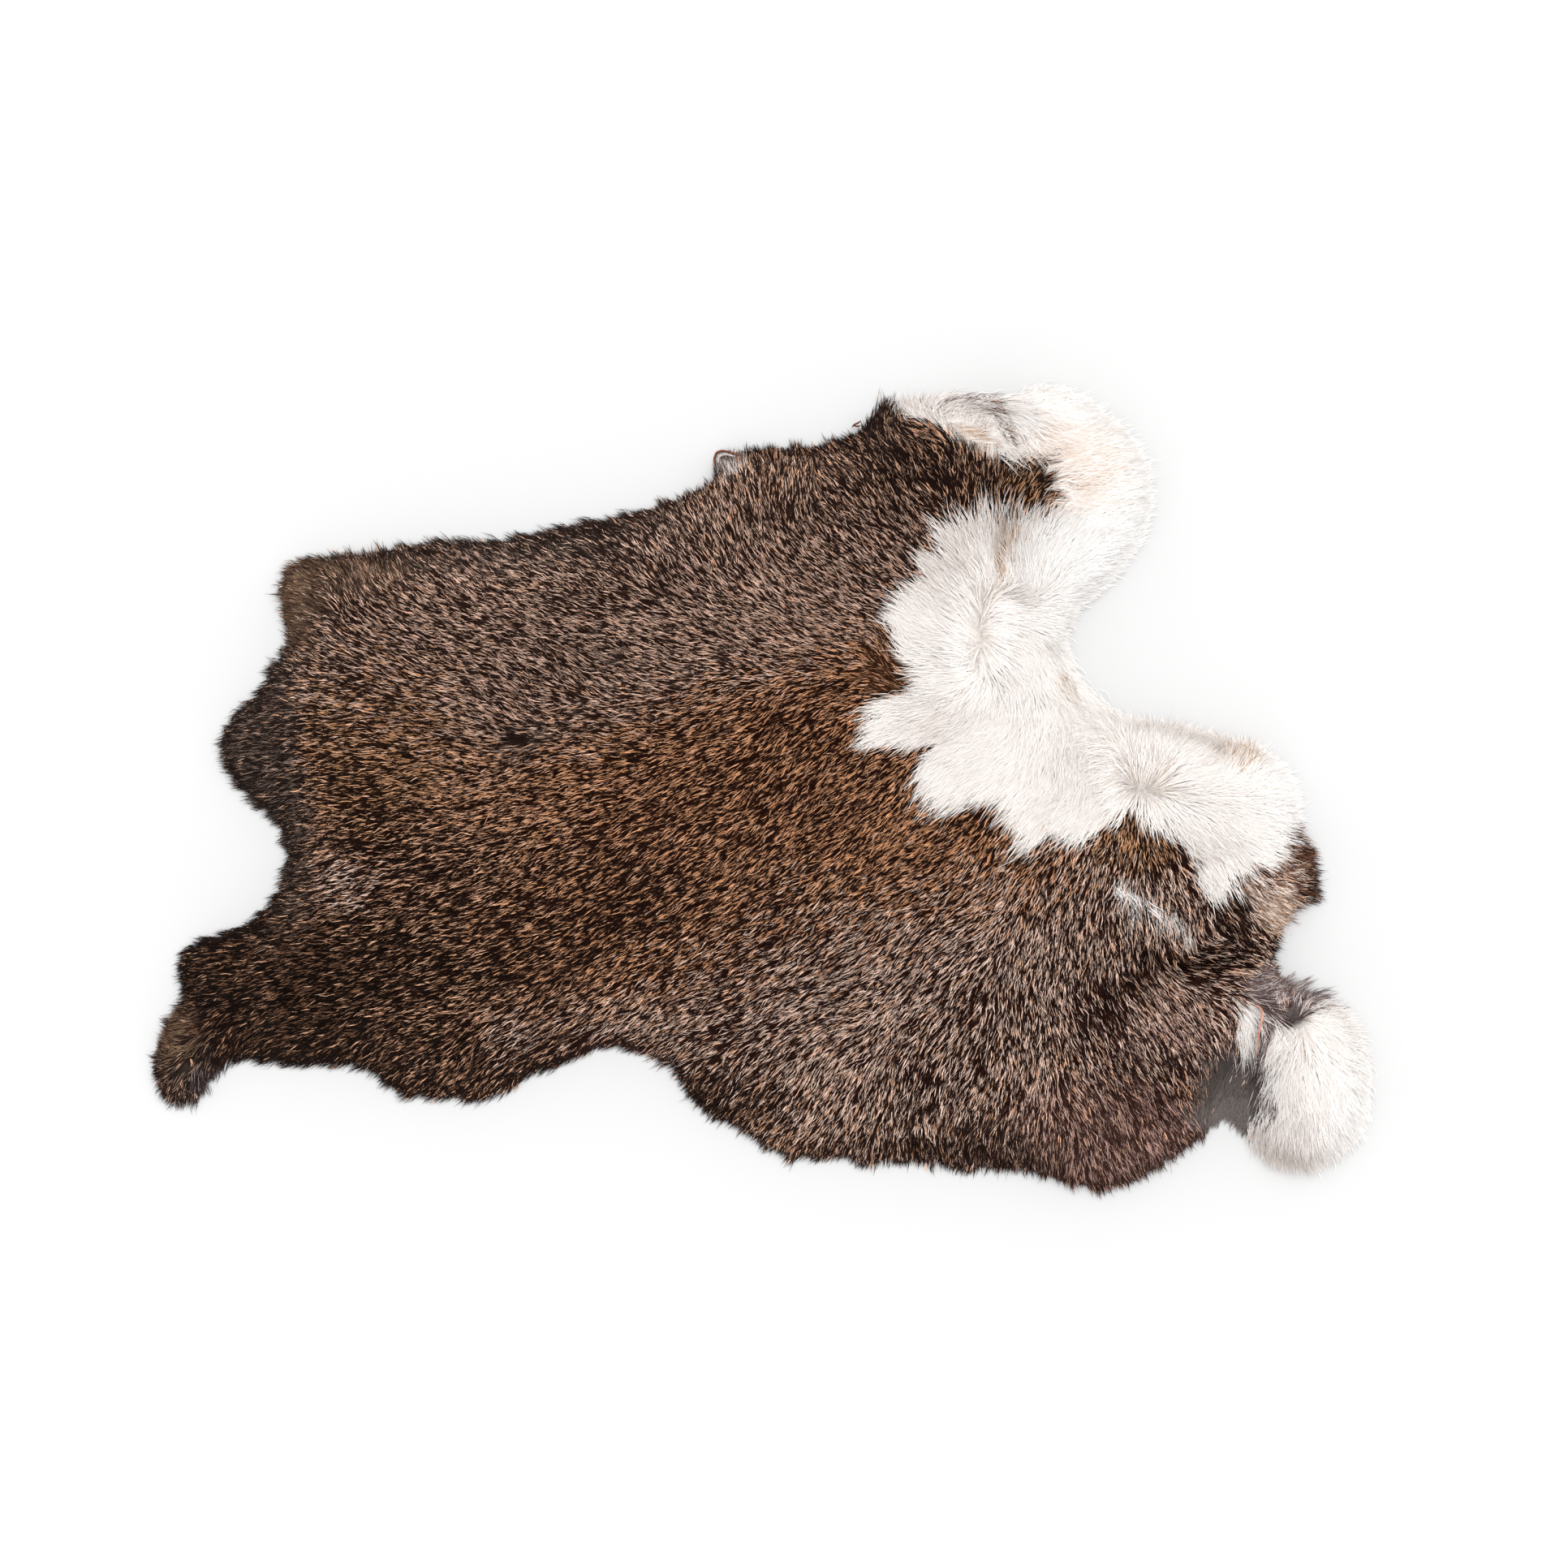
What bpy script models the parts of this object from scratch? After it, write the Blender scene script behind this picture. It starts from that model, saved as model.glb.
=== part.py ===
"""Rabbit skin lying flat with its fur up.

One solid: a lumpy slab of fur on its hide, with pointed locks of hair all round its rim and the puff
of the tail at the lower right corner. The underside is flat, at z = 0. Metres, +Z up, +X along the
skin's length. The origin is under the middle of its box.
"""

import math
import random

import bmesh
import bpy
import numpy as np
from mathutils.geometry import delaunay_2d_cdt

# Driving dimensions, in millimetres; MM turns them into metres where the mesh is made.
MM = 0.001
PILE_DEPTH = 17.0           # loft of the fur over most of the skin
THINNEST_PILE = 4.0         # loft left at the bottom of the deepest crease
RIM_ROUNDING = 17.0         # width over which the pile falls away to the rim
RIM_FULLNESS = 0.85         # under 1 the pile falls away later and more steeply
TOP_SPACING = 5.2           # distance between points on the fur
UNDERSIDE_SPACING = 34.0    # distance between points on the flat underside
UNDERSIDE_MARGIN = 9.0      # distance kept from the rim by the points on the underside

LOCK_WIDTH = 6.6            # width of one lock of hair at its root, along the rim
ROOT_STRAY = 0.3            # how far a root strays from even spacing, as a share of that width
TIP_SHARE = 0.75            # reach of a lock's tip past the edge, as a share of its row's lock size
TIP_STRAY = (0.6, 1.5)      # shortest and longest tip against that reach
NOTCH_SHARE = 0.9           # depth of the notch between two locks inside the edge, the same way
LEAN_SHARE = 0.8            # how far a lock turns from straight out towards the lie of the hair
LEAST_OUTWARD = 0.45        # a lean that leaves less than this outward is dropped
LOCK_CREST = 5.2            # height of a lock's back above the floor, where it leaves the pile
CREST_SETBACK = 1.4         # how far inside its two notches that point lies
EDGE_STEP = 0.6             # distance between samples of the smooth edge
TANGENT_REACH = 1.5         # distance along the edge to each side over which its direction is read

CLUMP_PITCH = 15.0          # distance between clumps of hair on top
CLUMP_STRAY = 4.0
CLUMP_LENGTH = 30.0
CLUMP_WIDTH = 17.0
CLUMP_RISE = 4.0
CLUMP_SIZES = (0.75, 1.2)   # smallest and largest clump against those sizes
GRAIN_BLEND = 25.0          # square of the distance within which rows of the grain even out
SEED = 11

FUR_COLOUR = (0.16, 0.105, 0.078, 1.0)
FUR_ROUGHNESS = 0.85

# Edge of the fur, clockwise from the upper left corner, with the size of its locks there.
# Columns: x, y, lock.
EDGE = (
    (-165, 77, 4.0), (-137, 81, 3.5), (-110, 85, 3.5), (-89, 85, 3.5), (-66, 90, 3.5), (-45, 94, 3.5),
    (-26, 101, 3.0), (-19, 105, 1.0), (-16, 113, 0.8), (-10, 116, 0.8), (-3, 116, 1.5), (8, 118, 3.0),
    (20, 118, 3.0), (32, 122, 3.5), (37, 127, 4.0), (43, 135, 4.0), (48, 133, 1.2), (60, 135, 2.0),
    (76, 135, 2.0), (87, 135, 2.0), (94, 139, 2.0), (104, 138, 2.5), (118, 130, 2.5), (130, 118, 2.5),
    (135, 102, 2.5), (132, 86, 2.5), (122, 72, 2.5), (109, 59, 2.0), (105, 50, 1.5), (108, 42, 1.5),
    (116, 30, 2.0), (129, 23, 2.5), (146, 21, 2.5), (157, 16, 3.0), (166, 17, 3.0), (174, 13, 2.5),
    (182, 6, 2.5), (186, -2, 2.5), (186, -11, 3.0), (192, -25, 4.5), (194, -37, 4.5), (190, -43, 3.0),
    (184, -47, 2.5), (184, -53, 3.0), (179, -58, 2.5), (180, -63, 2.0), (187, -66, 4.0), (197, -71, 5.0),
    (205, -80, 3.5), (210, -92, 4.0), (211, -105, 4.5), (209, -117, 4.5), (202, -127, 4.5),
    (191, -133, 4.5), (179, -131, 4.0), (170, -124, 3.0), (167, -115, 2.0), (169, -105, 1.2),
    (169, -96, 0.8), (165, -95, 0.8), (159, -103, 1.2), (157, -115, 2.0), (150, -124, 3.0),
    (134, -133, 3.0), (121, -139, 3.0), (108, -138, 3.0), (90, -132, 3.5), (70, -132, 4.5),
    (50, -129, 4.0), (38, -131, 4.5), (24, -127, 4.0), (13, -129, 4.5), (-1, -123, 4.0), (-10, -116, 3.5),
    (-21, -112, 3.5), (-26, -105, 3.0), (-30, -97, 3.0), (-43, -91, 3.5), (-52, -89, 3.5), (-66, -96, 4.0),
    (-82, -101, 4.5), (-94, -108, 5.0), (-111, -108, 4.5), (-126, -106, 4.0), (-130, -100, 2.5),
    (-142, -96, 4.0), (-159, -97, 4.5), (-176, -94, 4.0), (-184, -95, 3.0), (-190, -104, 3.0),
    (-199, -111, 4.0), (-208, -104, 4.0), (-211, -95, 4.0), (-206, -85, 3.5), (-204, -78, 3.5),
    (-198, -73, 2.0), (-201, -62, 3.5), (-195, -53, 3.5), (-180, -48, 3.0), (-170, -41, 3.0),
    (-164, -23, 3.5), (-168, -10, 3.5), (-177, -4, 4.0), (-186, 4, 4.5), (-188, 15, 4.5), (-185, 23, 4.0),
    (-176, 30, 4.5), (-168, 42, 4.5), (-163, 51, 4.0), (-167, 63, 4.5),
)

# Lie of the hair: which way its tips point at a place, in degrees from +X towards +Y.
# Columns: x, y, toward.
GRAIN = (
    (-156, 70, 150), (-105, 75, 122), (-49, 87, 115), (-2, 106, 100), (29, 115, 110), (43, 128, 75),
    (-150, 33, 165), (-89, 42, 150), (-24, 53, 142), (18, 75, 125), (46, 89, 128), (74, 106, 95),
    (99, 106, 25), (68, 126, -10), (116, 126, 40), (130, 98, 0), (110, 70, -45), (63, 78, 140),
    (51, 47, 150), (7, 25, 178), (-66, 19, 176), (-136, 5, 180), (-181, 11, 175), (85, 42, -95),
    (74, 5, 215), (127, 15, 90), (152, 11, 60), (175, 3, 20), (186, -31, -8), (163, -39, -45),
    (144, -39, -80), (121, -25, -120), (29, -3, 215), (-24, -14, 202), (-94, -23, 196), (-150, -31, 195),
    (-192, -62, 190), (-202, -95, 205), (-136, -73, 215), (-94, -81, 226), (-38, -65, 222), (18, -51, 222),
    (68, -51, 230), (110, -65, 242), (99, -115, 256), (46, -115, 246), (-5, -104, 240), (149, -81, 262),
    (141, -121, 272), (191, -70, -5), (197, -101, -75), (183, -121, 262), (-105, -104, 252),
    (-167, -90, 238),
)

# Broad swells and hollows of the pile; the length turns from +X towards +Y, in degrees.
# Columns: x, y, half_length, half_width, turn, rise.
SWELLS = (
    (107, 104, 40, 27, 90, 16.0),      # big white lobe at the upper right
    (68, 127, 24, 10, 0, 4.0),         # white strip along the top
    (74, 106, 30, 12, -15, 4.0),       # dark lobe under that strip
    (71, 76, 26, 13, 80, 5.0),         # white bib, left of its cleft
    (42, 129, 11, 8, 70, 4.0),         # dark tuft on the top edge
    (99, 17, 34, 12, 8, 5.0),          # ridge under the bib
    (155, 2, 32, 26, -20, 8.0),        # white haunch
    (163, -38, 26, 18, -30, 4.0),      # dark haunch
    (144, -78, 27, 13, 0, 10.0),       # rounded fold of the rump
    (190, -104, 27, 20, 90, 12.0),     # tail puff
    (119, -122, 34, 14, 0, 5.0),       # lobe at the lower right
    (7, 2, 52, 28, 30, 4.0),           # middle of the back
    (-94, 54, 46, 22, 10, 3.0),        # upper left of the back
    (-66, -44, 52, 26, -15, 3.0),      # lower left of the back
    (-175, -15, 16, 34, 90, -4.0),     # thin edge of the neck
    (-196, -93, 16, 14, 0, -2.0),      # small lobe at the lower left
)

# Creases and partings, as straight troughs from one end to the other.
# Columns: start_x, start_y, end_x, end_y, half_width, depth.
CREASES = (
    (84, 94, 88, 63, 6.0, 8.0),        # cleft in the white bib
    (77, 63, 78, 39, 4.5, 4.0),        # seam that runs on below it
    (104, 47, 114, 33, 5.5, 7.0),      # notch between lobe and haunch
    (75, 27, 105, 28, 5.0, 4.5),       # lip below the bib
    (128, -2, 135, -4, 8.0, 6.0),      # whorl on the haunch
    (-91, 18, -82, 15, 7.0, 5.0),      # dark parting on the back
    (-58, 42, -52, 41, 7.0, 4.0),      # whorl above it
    (-97, -4, -91, -7, 7.0, 4.0),      # whorl below it
    (122, -72, 133, -63, 6.0, 7.0),    # furrow over the rump, first part
    (133, -63, 162, -59, 6.0, 9.0),    # furrow over the rump, second part
    (136, -102, 138, -112, 6.0, 6.0),  # crease in the rump's lower edge
    (170, -74, 168, -96, 6.0, 11.0),   # root of the tail
    (-199, -74, -178, -79, 7.0, 7.0),  # neck of the small lobe
    (-128, -108, -129, -97, 5.0, 4.0), # notch left of the long bottom lobe
    (-28, -108, -19, -93, 6.0, 4.0),   # hollow where the bottom edge steps down
)


def grain_at(points):
    """Unit direction of the hair's tips at each point, blended from the nearest rows of GRAIN."""
    x, y, toward = np.array(GRAIN, dtype=float).T
    away = (points[:, None, 0] - x) ** 2 + (points[:, None, 1] - y) ** 2
    weight = 1.0 / (away + GRAIN_BLEND) ** 2
    angle = np.radians(toward)
    flow = np.stack([weight @ np.cos(angle), weight @ np.sin(angle)], axis=1)
    return flow / np.linalg.norm(flow, axis=1, keepdims=True)


def smooth_edge():
    """The closed smooth line through the rows of EDGE, as points with their lock size."""
    knots = np.array(EDGE, dtype=float)
    line = []
    for index in range(len(knots)):
        before, start, end, after = (knots[(index + offset) % len(knots)] for offset in (-1, 0, 1, 2))
        span_in, span, span_out = (
            math.sqrt(math.dist(a[:2], b[:2])) for a, b in ((before, start), (start, end), (end, after))
        )
        leave = (end - start) + span * ((start - before) / span_in - (end - before) / (span_in + span))
        arrive = (end - start) + span * ((after - end) / span_out - (after - start) / (span + span_out))
        pieces = max(2, round(math.dist(start[:2], end[:2]) / EDGE_STEP))
        for part in np.arange(pieces) / pieces:
            cubed, squared = part ** 3, part ** 2
            line.append(
                (2 * cubed - 3 * squared + 1) * start
                + (cubed - 2 * squared + part) * leave
                + (3 * squared - 2 * cubed) * end
                + (cubed - squared) * arrive
            )
    return np.array(line)


def locks_round_the_rim():
    """The jagged rim as a closed polygon, and the crest point of each lock."""
    draw = random.Random(SEED)
    line = smooth_edge()
    ends = np.vstack([line, line[:1]])
    along = np.concatenate([[0.0], np.cumsum(np.linalg.norm(np.diff(ends[:, :2], axis=0), axis=1))])
    count = round(along[-1] / LOCK_WIDTH)

    def on_edge(distance):
        distance = distance % along[-1]
        return np.array([np.interp(distance, along, ends[:, column]) for column in range(3)])

    def outward(distance):
        tangent = on_edge(distance + TANGENT_REACH)[:2] - on_edge(distance - TANGENT_REACH)[:2]
        tangent /= np.linalg.norm(tangent)
        return np.array([-tangent[1], tangent[0]])

    roots = [
        (index + draw.uniform(-ROOT_STRAY, ROOT_STRAY)) * along[-1] / count for index in range(count)
    ]
    rim = []
    crests = []
    for index, root in enumerate(roots):
        following = roots[index + 1] if index + 1 < count else roots[0] + along[-1]
        middle = (root + following) / 2
        notches = []
        for place in (root, following):
            notch = on_edge(place)
            notches.append(notch[:2] - outward(place) * notch[2] * NOTCH_SHARE)
        rim.append(notches[0])
        base = on_edge(middle)
        out = outward(middle)
        lean = out + LEAN_SHARE * grain_at(base[None, :2])[0]
        if lean @ out < LEAST_OUTWARD:
            lean = out
        lean /= np.linalg.norm(lean)
        length = base[2] * TIP_SHARE * draw.uniform(*TIP_STRAY)
        rim.append(base[:2] + lean * length)
        crests.append((notches[0] + notches[1]) / 2 - out * CREST_SETBACK)
    return np.array(rim), np.array(crests)


def inside(points, polygon):
    """Which points lie inside the closed polygon."""
    following = np.roll(polygon, -1, axis=0)
    x, y = points[:, 0, None], points[:, 1, None]
    spans = (polygon[:, 1] > y) != (following[:, 1] > y)
    rise = np.where(following[:, 1] == polygon[:, 1], 1.0, following[:, 1] - polygon[:, 1])
    crossing = polygon[:, 0] + (y - polygon[:, 1]) * (following[:, 0] - polygon[:, 0]) / rise
    return (spans & (x < crossing)).sum(axis=1) % 2 == 1


def distance_to_line(points, starts, ends):
    """Distance from each point to each straight piece between starts and ends."""
    run = ends - starts
    offset = points[:, None] - starts
    share = np.clip((offset * run).sum(axis=2) / (run * run).sum(axis=1), 0.0, 1.0)
    return np.linalg.norm(offset - share[..., None] * run, axis=2)


def grid_inside(polygon, spacing, margin):
    """A grid of equal triangles' corners inside the polygon, at least margin from it."""
    low, high = polygon.min(axis=0), polygon.max(axis=0)
    rows = []
    for index, y in enumerate(np.arange(low[1], high[1], spacing * math.sqrt(0.75))):
        x = np.arange(low[0] + spacing * 0.5 * (index % 2), high[0], spacing)
        rows.append(np.stack([x, np.full_like(x, y)], axis=1))
    points = np.concatenate(rows)
    points = points[inside(points, polygon)]
    clear = distance_to_line(points, polygon, np.roll(polygon, -1, axis=0)).min(axis=1)
    return points[clear > margin]


def clump_height(points, polygon):
    """Height of the overlapping clumps of hair, each rising slowly towards its tip and then dropping."""
    draw = random.Random(SEED + 1)
    centres = grid_inside(polygon, CLUMP_PITCH, CLUMP_STRAY)
    centres += [[draw.uniform(-CLUMP_STRAY, CLUMP_STRAY) for _ in range(2)] for _ in centres]
    size = np.array([draw.uniform(*CLUMP_SIZES) for _ in centres])
    flow = grain_at(centres)
    offset = points[:, None] - centres
    forward = (offset * flow).sum(axis=2) / (CLUMP_LENGTH / 2 * size)
    sideways = (offset[..., 0] * flow[:, 1] - offset[..., 1] * flow[:, 0]) / (CLUMP_WIDTH / 2 * size)
    slope = np.clip((forward + 1.0) / 1.5, 0.0, 1.0) * np.clip((1.0 - forward) / 0.5, 0.0, 1.0)
    back = np.clip(1.0 - sideways ** 2, 0.0, 1.0)
    return CLUMP_RISE * (slope * back * size).max(axis=1)


def pile_height(points, polygon):
    """Height of the fur's surface above the floor at each point."""
    height = PILE_DEPTH + clump_height(points, polygon)
    for x, y, half_length, half_width, turn, rise in SWELLS:
        cos, sin = math.cos(math.radians(turn)), math.sin(math.radians(turn))
        dx, dy = points[:, 0] - x, points[:, 1] - y
        reach = ((dx * cos + dy * sin) / half_length) ** 2 + ((dy * cos - dx * sin) / half_width) ** 2
        height += rise * np.exp(-reach)
    for start_x, start_y, end_x, end_y, half_width, depth in CREASES:
        away = distance_to_line(points, np.array([[start_x, start_y]]), np.array([[end_x, end_y]]))[:, 0]
        height -= depth * np.exp(-((away / half_width) ** 2))
    clear = distance_to_line(points, polygon, np.roll(polygon, -1, axis=0)).min(axis=1)
    fall = np.sin(np.clip(clear / RIM_ROUNDING, 0.0, 1.0) * math.pi / 2) ** RIM_FULLNESS
    return np.maximum(height, THINNEST_PILE) * fall


def triangles_of(polygon, inner, ridges=()):
    """Triangles over the polygon and the points inside it, as indices into both, in that order.

    Each of the ridges, a pair of such indices, is an edge of some triangle.
    """
    points = [tuple(point) for point in np.vstack([polygon, inner])]
    outline = list(range(len(polygon)))
    placed, _, faces, origins, _, _ = delaunay_2d_cdt(points, list(ridges), [outline], 1, 1e-6)
    assert len(placed) == len(points), "the rim crosses itself"
    return [[origins[corner][0] for corner in face] for face in faces]


def fur_slab():
    """The skin with its fur as one closed mesh."""
    rim, crests = locks_round_the_rim()
    grid = grid_inside(rim, TOP_SPACING, 0.42 * TOP_SPACING)
    grid = grid[np.linalg.norm(grid[:, None] - crests, axis=2).min(axis=1) > 0.55 * TOP_SPACING]
    top = np.vstack([crests, grid])
    height = pile_height(top, rim)
    height[: len(crests)] = LOCK_CREST
    under = grid_inside(rim, UNDERSIDE_SPACING, UNDERSIDE_MARGIN)

    corners = [(x, y, 0.0) for x, y in rim]
    corners += [(x, y, z) for (x, y), z in zip(top, height)]
    corners += [(x, y, 0.0) for x, y in under]
    tips = range(1, len(rim), 2)
    faces = triangles_of(rim, top, zip(tips, range(len(rim), len(rim) + len(crests))))
    skip = len(top)
    for face in triangles_of(rim, under):
        faces.append([corner if corner < len(rim) else corner + skip for corner in reversed(face)])

    corners = np.array(corners)
    middle = (corners.min(axis=0) + corners.max(axis=0)) / 2
    corners[:, :2] -= middle[:2]
    mesh = bpy.data.meshes.new("pelt")
    mesh.from_pydata((corners * MM).tolist(), [], faces)
    shaped = bmesh.new()
    shaped.from_mesh(mesh)
    bmesh.ops.recalc_face_normals(shaped, faces=shaped.faces)
    shaped.to_mesh(mesh)
    shaped.free()
    mesh.shade_smooth()
    mesh.set_sharp_from_angle(angle=math.radians(50))
    return mesh


def fur_material():
    material = bpy.data.materials.new("fur")
    material.use_nodes = True
    shader = material.node_tree.nodes["Principled BSDF"]
    shader.inputs["Base Color"].default_value = FUR_COLOUR
    shader.inputs["Roughness"].default_value = FUR_ROUGHNESS
    shader.inputs["Metallic"].default_value = 0.0
    material.diffuse_color = FUR_COLOUR
    return material


for thing in list(bpy.data.objects):
    bpy.data.objects.remove(thing)

pelt = bpy.data.objects.new("pelt", fur_slab())
pelt.data.materials.append(fur_material())
bpy.context.scene.collection.objects.link(pelt)
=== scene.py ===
# Rabbit skin lying flat with its fur up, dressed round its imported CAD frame.

import math

import bpy
import numpy as np
from mathutils.bvhtree import BVHTree
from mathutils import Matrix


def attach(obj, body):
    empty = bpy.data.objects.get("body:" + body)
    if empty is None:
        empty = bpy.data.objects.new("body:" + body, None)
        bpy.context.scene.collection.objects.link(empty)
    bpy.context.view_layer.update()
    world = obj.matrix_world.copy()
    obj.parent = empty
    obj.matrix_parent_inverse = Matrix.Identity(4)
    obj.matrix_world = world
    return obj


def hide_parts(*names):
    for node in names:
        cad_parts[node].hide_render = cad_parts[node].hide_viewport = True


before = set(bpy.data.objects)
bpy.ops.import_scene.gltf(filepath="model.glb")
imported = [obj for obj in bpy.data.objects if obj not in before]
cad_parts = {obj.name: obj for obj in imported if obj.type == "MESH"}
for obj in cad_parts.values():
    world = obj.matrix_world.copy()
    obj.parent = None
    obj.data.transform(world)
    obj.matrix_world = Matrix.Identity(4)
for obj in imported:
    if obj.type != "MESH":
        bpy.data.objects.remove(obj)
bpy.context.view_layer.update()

# The lie of the skin. It was laid out by hand with its fur up, and it lies in folds, swells and
# creases. The solid that stands for it holds that form, so it is read from the solid here, on a grid
# of 1 mm, and the hide, the wool and the hair all follow it. Every table is in millimetres, and the
# colours in the tables are red, green and blue out of 255.
MM = 0.001
SKIN_MIDDLE = np.array([0.645, -0.970])     # middle of the skin's box, in the tables' millimetres
GRID_LEFT, GRID_BOTTOM = -230.0, -160.0
GRID_COLUMNS, GRID_ROWS = 462, 318
RIM_BLUR = 3
FORM_BLUR = 1.4
INWARD_BLUR = 2.0
EDGE_HEIGHT = 0.05      # the solid counts as fur from this height

# Where the fur stops short of the solid's edge, or reaches past it where the number is negative.
# Columns: x, y, radius, how far in.
RIM_SHIFTS = (
    (185, -54, 14, 4.5),     # bay between haunch and tail
    (-17, 105, 5, 3.0),      # corner under the curled tab
    (18, 120, 12, 0.8),
    (-166, 72, 16, 0.8),
    (146, -128, 12, 1.5),    # lower edge of the rump
    (165, -106, 10, -9.5),   # low fur between rump and tail, coloured as painted shadow
    (189, -66, 9, 2.2),      # thin wisps over the tail
    (-202, -111, 8, -1.6),   # small lobe
    (-200, -60, 10, -1.2),
    (-168, -25, 14, 1.0),    # left bay
    (-78, 88, 12, -1.0),     # upper edge
    (-92, -108, 9, -1.0),    # lower edge
    (180, -42, 5, 2.6),      # corner under the haunch tuft
    (-188, 6, 14, 1.6),      # left end
)
# Narrow folds in the pile, as straight troughs from one end to the other.
# Columns: start_x, start_y, end_x, end_y, half_width, depth.
FOLDS = (
    (77, 66, 75.7, 51, 0.9, 1.2),       # seam down the white bib
    (75.7, 51, 73.8, 40, 0.9, 1.2),
    (84.5, 93, 80.5, 73, 2.3, 5.0),     # cleft left of the big lock
    (81, 68, 90, 64, 2.6, 3.5),         # hollow under that lock
    (81, 28.5, 104, 27, 1.6, 3.0),      # lip below the bib
    (99, 46, 107, 34, 2.5, 3.5),        # hollow beside the notch
    (124, -3, 138, -3, 1.2, 1.2),       # whorl on the haunch
    (123, -71, 133, -63, 2.0, 3.0),     # furrow over the rump
    (133, -63, 161, -59.5, 2.0, 3.0),
    (171, -74, 170, -94, 1.6, 4.0),     # cut beside the tail's root
    (182, -73, 184, -80, 2.0, 3.0),
)

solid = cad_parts["pelt"].data
slab = BVHTree.FromPolygons(
    [vertex.co for vertex in solid.vertices],
    [tuple(face.vertices) for face in solid.polygons],
)
grid_x = GRID_LEFT + np.arange(GRID_COLUMNS)
grid_y = GRID_BOTTOM + np.arange(GRID_ROWS)


def slab_height(x, y):
    """Height of the solid's top over a place, or 0 beside it."""
    hit = slab.ray_cast(((x - SKIN_MIDDLE[0]) * MM, (y - SKIN_MIDDLE[1]) * MM, 1.0), (0, 0, -1))[0]
    return hit.z / MM if hit else 0.0


def soften(grid, blur):
    """The grid, blurred."""
    steps = np.arange(-math.ceil(3 * blur), math.ceil(3 * blur) + 1)
    weight = np.exp(-0.5 * (steps / blur) ** 2)
    weight /= weight.sum()
    for axis in (0, 1):
        grid = np.apply_along_axis(np.convolve, axis, grid, weight, mode="same")
    return grid


def read(grid, x, y):
    """The grid's values at places between its points."""
    column = np.clip(x - GRID_LEFT, 0, GRID_COLUMNS - 1.001)
    row = np.clip(y - GRID_BOTTOM, 0, GRID_ROWS - 1.001)
    left, low = column.astype(int), row.astype(int)
    right_share, high_share = column - left, row - low
    lower = grid[low, left] * (1 - right_share) + grid[low, left + 1] * right_share
    upper = grid[low + 1, left] * (1 - right_share) + grid[low + 1, left + 1] * right_share
    return lower * (1 - high_share) + upper * high_share


def trough(x, y, start_x, start_y, end_x, end_y, half_width):
    """How deep a place lies in a trough: 1 along its middle, 0 well beside it."""
    run_x, run_y = end_x - start_x, end_y - start_y
    along = np.clip(((x - start_x) * run_x + (y - start_y) * run_y) / (run_x ** 2 + run_y ** 2), 0, 1)
    away = np.hypot(x - start_x - along * run_x, y - start_y - along * run_y)
    return np.exp(-((away / half_width) ** 2))


every_x, every_y = np.meshgrid(grid_x, grid_y)
pile_top = np.array([[slab_height(x, y) for x in grid_x] for y in grid_y])
form = soften(pile_top, FORM_BLUR)
for *line, half_width, depth in FOLDS:
    form -= np.minimum(depth, 0.5 * form) * trough(every_x, every_y, *line, half_width)

# Distance inside the edge of the fur, negative outside it, from how much of the surroundings is fur.
spreads = np.linspace(-2.4, 2.4, 97)
shares = [0.5 * (1 + math.erf(spread / math.sqrt(2))) for spread in spreads]
covered = soften((pile_top > EDGE_HEIGHT).astype(float), RIM_BLUR)
rim = np.interp(covered, shares, spreads * RIM_BLUR)
for shift_x, shift_y, radius, inwards in RIM_SHIFTS:
    rim -= inwards * np.exp(-((every_x - shift_x) ** 2 + (every_y - shift_y) ** 2) / radius ** 2)
inward_y, inward_x = np.gradient(soften(covered, INWARD_BLUR))


def inward_at(x, y):
    """Unit direction away from the nearest edge."""
    flow = np.stack([read(inward_x, x, y), read(inward_y, x, y)], axis=-1)
    size = np.linalg.norm(flow, axis=-1, keepdims=True)
    return flow / np.maximum(size, 1e-9)


# The hide: one rabbit's skin, tanned to soft leather about 1 mm thick. It lies with its flesh side
# on the floor, and its cut edge stops a little inside the reach of the hair. Nothing is sewn to it.
HIDE_CELL = 3.0
HIDE_INSET = 5.5
HIDE_THICKNESS = 1.0
HIDE_LIFT = 0.2


def in_frame(x, y, z):
    """Places in the tables' millimetres as places in the frame, in metres."""
    return np.stack([x - SKIN_MIDDLE[0], y - SKIN_MIDDLE[1], z], axis=-1) * MM


def link_piece(name, mesh, material):
    """A piece of the skin with its mesh and its finish, riding on the skin's one body."""
    piece = bpy.data.objects.new(name, mesh)
    bpy.context.scene.collection.objects.link(piece)
    mesh.materials.append(material)
    mesh.shade_smooth()
    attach(piece, "root")
    return piece


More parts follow.
